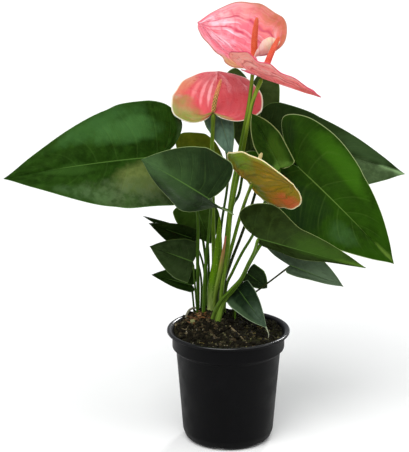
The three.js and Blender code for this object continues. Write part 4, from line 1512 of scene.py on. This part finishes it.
@dataclass(frozen=True)
class Pot:
    """Thin nursery pot with a rolled lip, a collar, a bevelled foot and drain notches, in millimetres."""

    height: float = 112
    wall: float = 1.5
    floor: float = 2
    base_radius: float = 38
    bevel: float = 4.2
    bevel_z: float = 3.3
    foot_radius: float = 44.5
    foot_height: float = 9.5
    body_top_radius: float = 51
    body_top_z: float = 91
    collar_radius: float = 54.8
    collar_z: float = 94
    lip_radius: float = 60
    lip_height: float = 3.2
    lip_edge: float = 0.8
    mouth_radius: float = 57
    mouth_depth: float = 2.5
    step_rise: float = 0.6
    sides: int = 144
    soften: float = 1.1
    notch_count: int = 6
    notch_width: float = 20
    notch_height: float = 4.5
    notch_length: float = 24
    notch_first: float = -104

    SOFTEN_SHARE = 0.4
    SOFTEN_STEPS = (0, 0.33, 0.67, 1)
    SMOOTH_UNDER = 32

    def inner_wall(self, clearance: float) -> list[Pair]:
        """The inside of the wall from the collar down to the floor, drawn in by a clearance."""
        inset, rise = self.wall + clearance, self.step_rise + 2 * clearance
        return [
            (self.collar_radius - inset, self.collar_z + rise),
            (self.body_top_radius - inset, self.body_top_z + rise),
            (self.foot_radius - inset, self.foot_height + rise),
            (self.base_radius + self.bevel - inset, self.bevel_z + rise),
            (self.base_radius - clearance, self.floor + clearance),
        ]

    def profile(self) -> list[Pair]:
        """The wall's section as radii and heights, from the middle of the base round to that of the floor."""
        under = self.height - self.lip_height
        corners = [
            (0, 0), (self.base_radius, 0), (self.base_radius + self.bevel, self.bevel_z),
            (self.foot_radius, self.foot_height), (self.body_top_radius, self.body_top_z),
            (self.collar_radius, self.collar_z), (self.collar_radius, under),
            (self.lip_radius - self.lip_edge, under), (self.lip_radius, under + self.lip_edge),
            (self.lip_radius, self.height - self.lip_edge), (self.lip_radius - self.lip_edge, self.height),
            (self.mouth_radius, self.height),
            (self.collar_radius - self.wall, self.height - self.mouth_depth),
            *self.inner_wall(0), (0, self.floor),
        ]
        soft = [corners[0]]
        for before, corner, after in zip(corners, corners[1:], corners[2:]):
            a, b, c = (Vector(point) for point in (before, corner, after))
            start, end = (
                b + way.normalized() * min(self.soften, way.length * self.SOFTEN_SHARE)
                for way in (a - b, c - b)
            )
            for t in self.SOFTEN_STEPS:
                soft.append(tuple(start.lerp(b, t).lerp(b.lerp(end, t), t)))
        return [*soft, corners[-1]]

    def build(self) -> None:
        """Spins the section and cuts the notches."""
        section = self.profile()
        pot = begun("nursery_pot", bpy.ops.mesh.primitive_circle_add, vertices=len(section))
        for vertex, (radius, z) in zip(pot.data.vertices, section):
            vertex.co = (radius * MM, 0, z * MM)
        edit(
            pot,
            lambda: bpy.ops.mesh.spin(steps=self.sides, angle=math.tau, center=(0, 0, 0), axis=(0, 0, 1)),
            lambda: bpy.ops.mesh.select_all(action="SELECT"),
            lambda: bpy.ops.mesh.remove_doubles(threshold=MERGE_MM * MM),
            lambda: bpy.ops.mesh.delete_loose(use_verts=True, use_edges=True, use_faces=False),
            lambda: bpy.ops.mesh.select_all(action="SELECT"),
            lambda: bpy.ops.mesh.normals_make_consistent(inside=False),
        )
        radius = (self.notch_width**2 / 4 + self.notch_height**2) / (2 * self.notch_height)
        for count in range(self.notch_count):
            turn = math.radians(self.notch_first + 360 / self.notch_count * count)
            middle = Vector((math.cos(turn), math.sin(turn), 0)) * (self.base_radius + self.bevel)
            cutter = begun(
                "notch",
                bpy.ops.mesh.primitive_cylinder_add,
                vertices=self.sides // 2,
                radius=radius * MM,
                depth=self.notch_length * MM,
                location=(middle + Vector((0, 0, self.notch_height - radius))) * MM,
                rotation=(0, math.pi / 2, turn),
            )
            modify(pot, "BOOLEAN", object=cutter, operation="DIFFERENCE", solver="EXACT")
            bpy.data.objects.remove(cutter)
        hand_over(smoothed(pot, self.SMOOTH_UNDER), "pot", [NurseryPlastic().build()], "pot")


@dataclass(frozen=True)
class Soil:
    """Peat in the pot with its mound, and what lies on it, in millimetres."""

    pot: Pot = Pot()
    edge_z: float = 109
    mound: Triple = (-14, 23, 15.5)
    spread: float = 25
    lumps: tuple[Pair, ...] = ((9, 1.1), (4, 0.8), (1.8, 0.45))
    columns: int = 220
    rows: int = 84
    clearance: float = 0.3
    reach: float = 52.5
    fibre_reach: float = 52
    calm_margin: float = 4
    rim_roughness: float = 0.35
    seed: int = 21

    def height(self, x: float, y: float) -> float:
        """Height of the peat at a place."""
        near, far, rise = self.mound
        heap = rise * math.exp(-((x - near) ** 2 + (y - far) ** 2) / self.spread**2)
        rough = sum(size * noise.noise(Vector((x, y, 3 * size)) / wide) for wide, size in self.lumps)
        rim = self.pot.collar_radius - self.pot.wall
        inner = 1 - float(smooth_step(np.array(math.hypot(x, y)), rim - self.calm_margin, rim))
        return self.edge_z + heap + rough * (self.rim_roughness + (1 - self.rim_roughness) * inner)

    def build(self) -> None:
        """Makes the peat and strews what lies on it."""
        walls = self.pot.inner_wall(self.clearance)
        rim = walls[0][0]
        lower = len(walls) + 1
        top = self.rows - lower
        bottom = [*walls, (0, self.pot.floor + self.clearance)]

        def place(around: Array, along: Array) -> Array:
            """Rings of the top from the middle out, then down the wall and in along the floor."""
            points = np.empty((len(around), 3))
            for count, (turn, share) in enumerate(zip(around * -math.tau, along)):
                ring = round(share * self.rows)
                radius = rim * min(ring / top, 1)
                x, y = radius * math.cos(turn), radius * math.sin(turn)
                if ring <= top:
                    points[count] = x, y, self.height(x, y)
                else:
                    radius, z = bottom[ring - top - 1]
                    points[count] = radius * math.cos(turn), radius * math.sin(turn), z
            return points

        peat = laid_grid("potting_soil", self.columns, self.rows, place)
        hand_over(smoothed(peat, 60), "soil", [Ground.PEAT.build()], "soil")
        self.strew()

    def spots(self, chance: random.Random, count: int, middle: Pair, reach: float) -> list[Triple]:
        """Random places on the peat.

        Args:
            chance: The source of random numbers.
            count: How many places.
            middle: Centre of the patch.
            reach: Its radius.

        Returns:
            Points on the peat, inside the pot.
        """
        found: list[Triple] = []
        while len(found) < count:
            far, turn = reach * math.sqrt(chance.random()), chance.uniform(0, math.tau)
            x, y = middle[0] + far * math.cos(turn), middle[1] + far * math.sin(turn)
            if math.hypot(x, y) < self.reach:
                found.append((x, y, self.height(x, y)))
        return found

    @staticmethod
    def lying(chance: random.Random, spot: Triple, size: Triple, tilt: float, sink: float) -> Matrix:
        """A random pose at a spot: turned freely about the vertical, tilted up to an angle in degrees."""
        lean = math.radians(tilt)
        turn = Matrix.Rotation(chance.uniform(0, math.tau), 4, "Z")
        turn @= Matrix.Rotation(chance.uniform(-lean, lean), 4, "X")
        turn @= Matrix.Rotation(chance.uniform(-lean, lean), 4, "Y")
        return Matrix.Translation(Vector(spot) + Vector((0, 0, sink))) @ turn @ Matrix.Diagonal((*size, 1))

    @staticmethod
    def knobbly(chance: random.Random, uneven: float) -> Piece:
        """A small lump with a few faces, as a model to strew."""
        lump = begun("lump", bpy.ops.mesh.primitive_ico_sphere_add, subdivisions=1, radius=1)
        for vertex in lump.data.vertices:
            vertex.co *= 1 + uneven * chance.uniform(-1, 1)
        return lump

    def strew(self) -> None:
        """Strews crumbs, clods, grit, bark, husks, moss and fibres."""
        chance = random.Random(self.seed)
        groups = (
            ("soil_crumbs", Ground.CRUMB, 1300, ((0, 0), self.reach), (0.6, 2.0), 0.4),
            ("soil_clods", Ground.PEAT, 260, ((0, 0), 51), (1.5, 3.4), 0.4),
            ("grit_grains", Ground.GRIT, 70, ((-12, -6), 40), (0.4, 0.9), 0.25),
            ("bark_flecks", Ground.BARK, 230, ((-30, 2), 26), (0.6, 1.9), 0.45),
        )
        for name, ground, count, (middle, reach), (small, large), uneven in groups:
            places = []
            for spot in self.spots(chance, count, middle, reach):
                size = chance.uniform(small, large)
                shape = (size, size * chance.uniform(0.6, 1), size * chance.uniform(0.45, 0.8))
                places.append(self.lying(chance, spot, shape, 60, size * 0.25))
            piece = strewn(name, self.knobbly(chance, uneven), places)
            hand_over(piece, "soil", [ground.build()])
        self.chips(chance)
        self.husks(chance)
        self.moss(chance)
        self.fibres(chance)

    def chips(self, chance: random.Random) -> None:
        """Lays bark chips, most of them at the left."""
        chip = begun("chip", bpy.ops.mesh.primitive_cube_add, size=2)
        edit(
            chip,
            lambda: bpy.ops.mesh.bevel(offset=0.35, segments=1, affect="EDGES"),
            lambda: bpy.ops.mesh.vertices_smooth(factor=0.2),
        )
        for vertex in chip.data.vertices:
            vertex.co *= 1 + 0.16 * chance.uniform(-1, 1)
        places = []
        spots = self.spots(chance, 26, (-30, 10), 22) + self.spots(chance, 16, (10, -20), 30)
        for spot in spots:
            long = chance.uniform(1.6, 3.6)
            shape = (long, long * chance.uniform(0.35, 0.7), chance.uniform(0.35, 0.8))
            places.append(self.lying(chance, spot, shape, 24, 0.5))
        hand_over(strewn("bark_chips", chip, places), "soil", [Ground.BARK.build()])

    def husks(self, chance: random.Random) -> None:
        """Leaves dry reddish scales round the left stems and one long pale scale behind them."""
        scale = laid_grid("scale", 5, 6, self.scale_skin)
        modify(scale, "SOLIDIFY", thickness=0.08 * MM, offset=0)
        for vertex in scale.data.vertices:
            vertex.co /= MM
        places = []
        for spot in self.spots(chance, 30, (-33, 17), 9) + self.spots(chance, 7, (-22, 13), 5):
            long = chance.uniform(2.2, 4.8)
            places.append(self.lying(chance, spot, (long * 0.5, long, long * 0.4), 24, 0.6))
        hand_over(smoothed(strewn("husk_scales", scale, places)), "soil", [Ground.HUSK.build()])
        arch = ((-42, 24, 113), (-40.5, 26, 118), (-37.5, 29, 121.5), (-32.5, 31, 122.5), (-29, 32, 120))
        strip = tube("straw_strip", Route(arch), lambda around, along: 1.3 - 0.3 * along, 8, 24)
        hand_over(smoothed(strip), "soil", [Ground.STRAW.build()])

    @staticmethod
    def scale_skin(across: Array, along: Array) -> Array:
        """A pointed scale one unit long each way from its middle, hollow below."""
        aside, ahead = 2 * across - 1, 2 * along - 1
        wide = aside * (1 - 0.85 * ahead**2)
        return np.stack([wide, ahead, 0.4 * (1 - wide**2) - 0.3 * ahead**2], axis=-1)

    def moss(self, chance: random.Random) -> None:
        """Grows moss in cushions at the right."""
        sizes = {"vertices": 5, "radius1": 0.4, "radius2": 0.05, "depth": 2, "location": (0, 0, 0.7)}
        shoot = begun("shoot", bpy.ops.mesh.primitive_cone_add, **sizes)
        bpy.ops.object.transform_apply(location=True)
        places = []
        cushions = (((38, -6), 11, 300), ((22, -30), 9, 190), ((40, 14), 9, 140), ((-4, -36), 8, 90))
        for middle, reach, count in cushions:
            for spot in self.spots(chance, count, middle, reach):
                size = chance.uniform(0.5, 1.1)
                places.append(self.lying(chance, spot, (size, size, size * chance.uniform(0.8, 1.6)), 50, 0))
        hand_over(strewn("moss", shoot, places), "soil", [Ground.MOSS.build()])

    def fibres(self, chance: random.Random) -> None:
        """Lays thin coir fibres over the peat, most of them at the right."""
        threads = []
        spots = self.spots(chance, 22, (28, -8), 18) + self.spots(chance, 12, (-10, -14), 26)
        for x, y, _ in spots:
            way, bend, long = chance.uniform(0, math.tau), chance.uniform(-0.9, 0.9), chance.uniform(4, 9)
            points = []
            for step in range(5):
                x, y = x + long / 4 * math.cos(way), y + long / 4 * math.sin(way)
                way += bend / 2
                far = math.hypot(x, y)
                if far > self.fibre_reach:
                    x, y = x * self.fibre_reach / far, y * self.fibre_reach / far
                arch = chance.uniform(0.4, 1.2) * math.sin(math.pi * (step + 1) / 6)
                points.append((x, y, self.height(x, y) + arch))
            thick = chance.uniform(0.16, 0.28)
            threads.append(tube("fibre", Route(points), lambda around, along: thick + 0 * along, 5, 12))
        hand_over(smoothed(joined("coir_fibres", threads)), "soil", [Ground.FIBRE.build()])


# Studio


@dataclass(frozen=True)
class Lamp:
    """A large, far soft light: the way it comes from, its width in degrees, its strength and its colour."""

    name: str
    source: Triple
    width: float
    strength: float
    colour: int = 0xFFFFFF

    def build(self) -> None:
        """Hangs the light and turns it to the plant."""
        data = bpy.data.lights.new(self.name, "SUN")
        data.angle, data.energy = math.radians(self.width), self.strength
        data.color = linear(self.colour)[:3]
        lamp = bpy.data.objects.new(self.name, data)
        lamp.location = self.source
        lamp.rotation_euler = (-lamp.location).to_track_quat("-Z", "Y").to_euler()
        bpy.context.collection.objects.link(lamp)


@dataclass(frozen=True)
class Studio:
    """Pale floor, soft light and the camera at the photograph's angle."""

    eye: Triple = (-0.0233, -1.5, 0.630)
    pitch: float = -15.45
    lens: float = 129.19
    sensor: float = 36
    floor_size: float = 40.0
    sky: int = 0xF2F5FA
    sky_strength: float = 0.3
    lamps: tuple[Lamp, ...] = (
        Lamp("key_light", (-0.4, -1.1, 1.6), 50, 2.3),
        Lamp("side_light", (1.4, -0.6, 1.3), 50, 0.6),
        Lamp("front_light", (-1.0, -1.8, 0.9), 60, 0.7),
        Lamp("rim_light", (0.5, 1.3, 0.9), 10, 0.8),
    )

    def build(self) -> None:
        """Sets up the floor, the sky, the lamps and the camera."""
        floor = begun("floor", bpy.ops.mesh.primitive_plane_add, size=self.floor_size)
        floor.data.materials.append(PaleFloor().build())
        world = bpy.data.worlds.new("sky")
        world.use_nodes = True
        glow = world.node_tree.nodes["Background"].inputs
        glow["Color"].default_value = linear(self.sky)
        glow["Strength"].default_value = self.sky_strength
        bpy.context.scene.world = world
        for lamp in self.lamps:
            lamp.build()
        data = bpy.data.cameras.new("camera")
        data.lens, data.sensor_width, data.sensor_fit = self.lens, self.sensor, "AUTO"
        camera = bpy.data.objects.new("camera", data)
        camera.location = self.eye
        camera.rotation_euler = (math.radians(90 + self.pitch), 0, 0)
        bpy.context.collection.objects.link(camera)
        bpy.context.scene.camera = camera
        bpy.context.scene.view_settings.view_transform = "Standard"


def main() -> None:
    """Builds the pot, the soil, the plant and the studio in order."""
    logging.basicConfig(level=logging.INFO, format="%(message)s")
    Studio().build()
    Pot().build()
    Soil().build()
    for name, rod in RODS.items():
        rod.build(name)
    for name, leaf in LEAVES.items():
        leaf.build(name)
    for name, flower in FLOWERS.items():
        flower.build(name)
    CURLED_LOBE.build("flower_top_curled_lobe", "spathe_pink")
    for name, tip in DRIP_TIPS.items():
        tip.build(name)


if __name__ == "__main__":
    main()
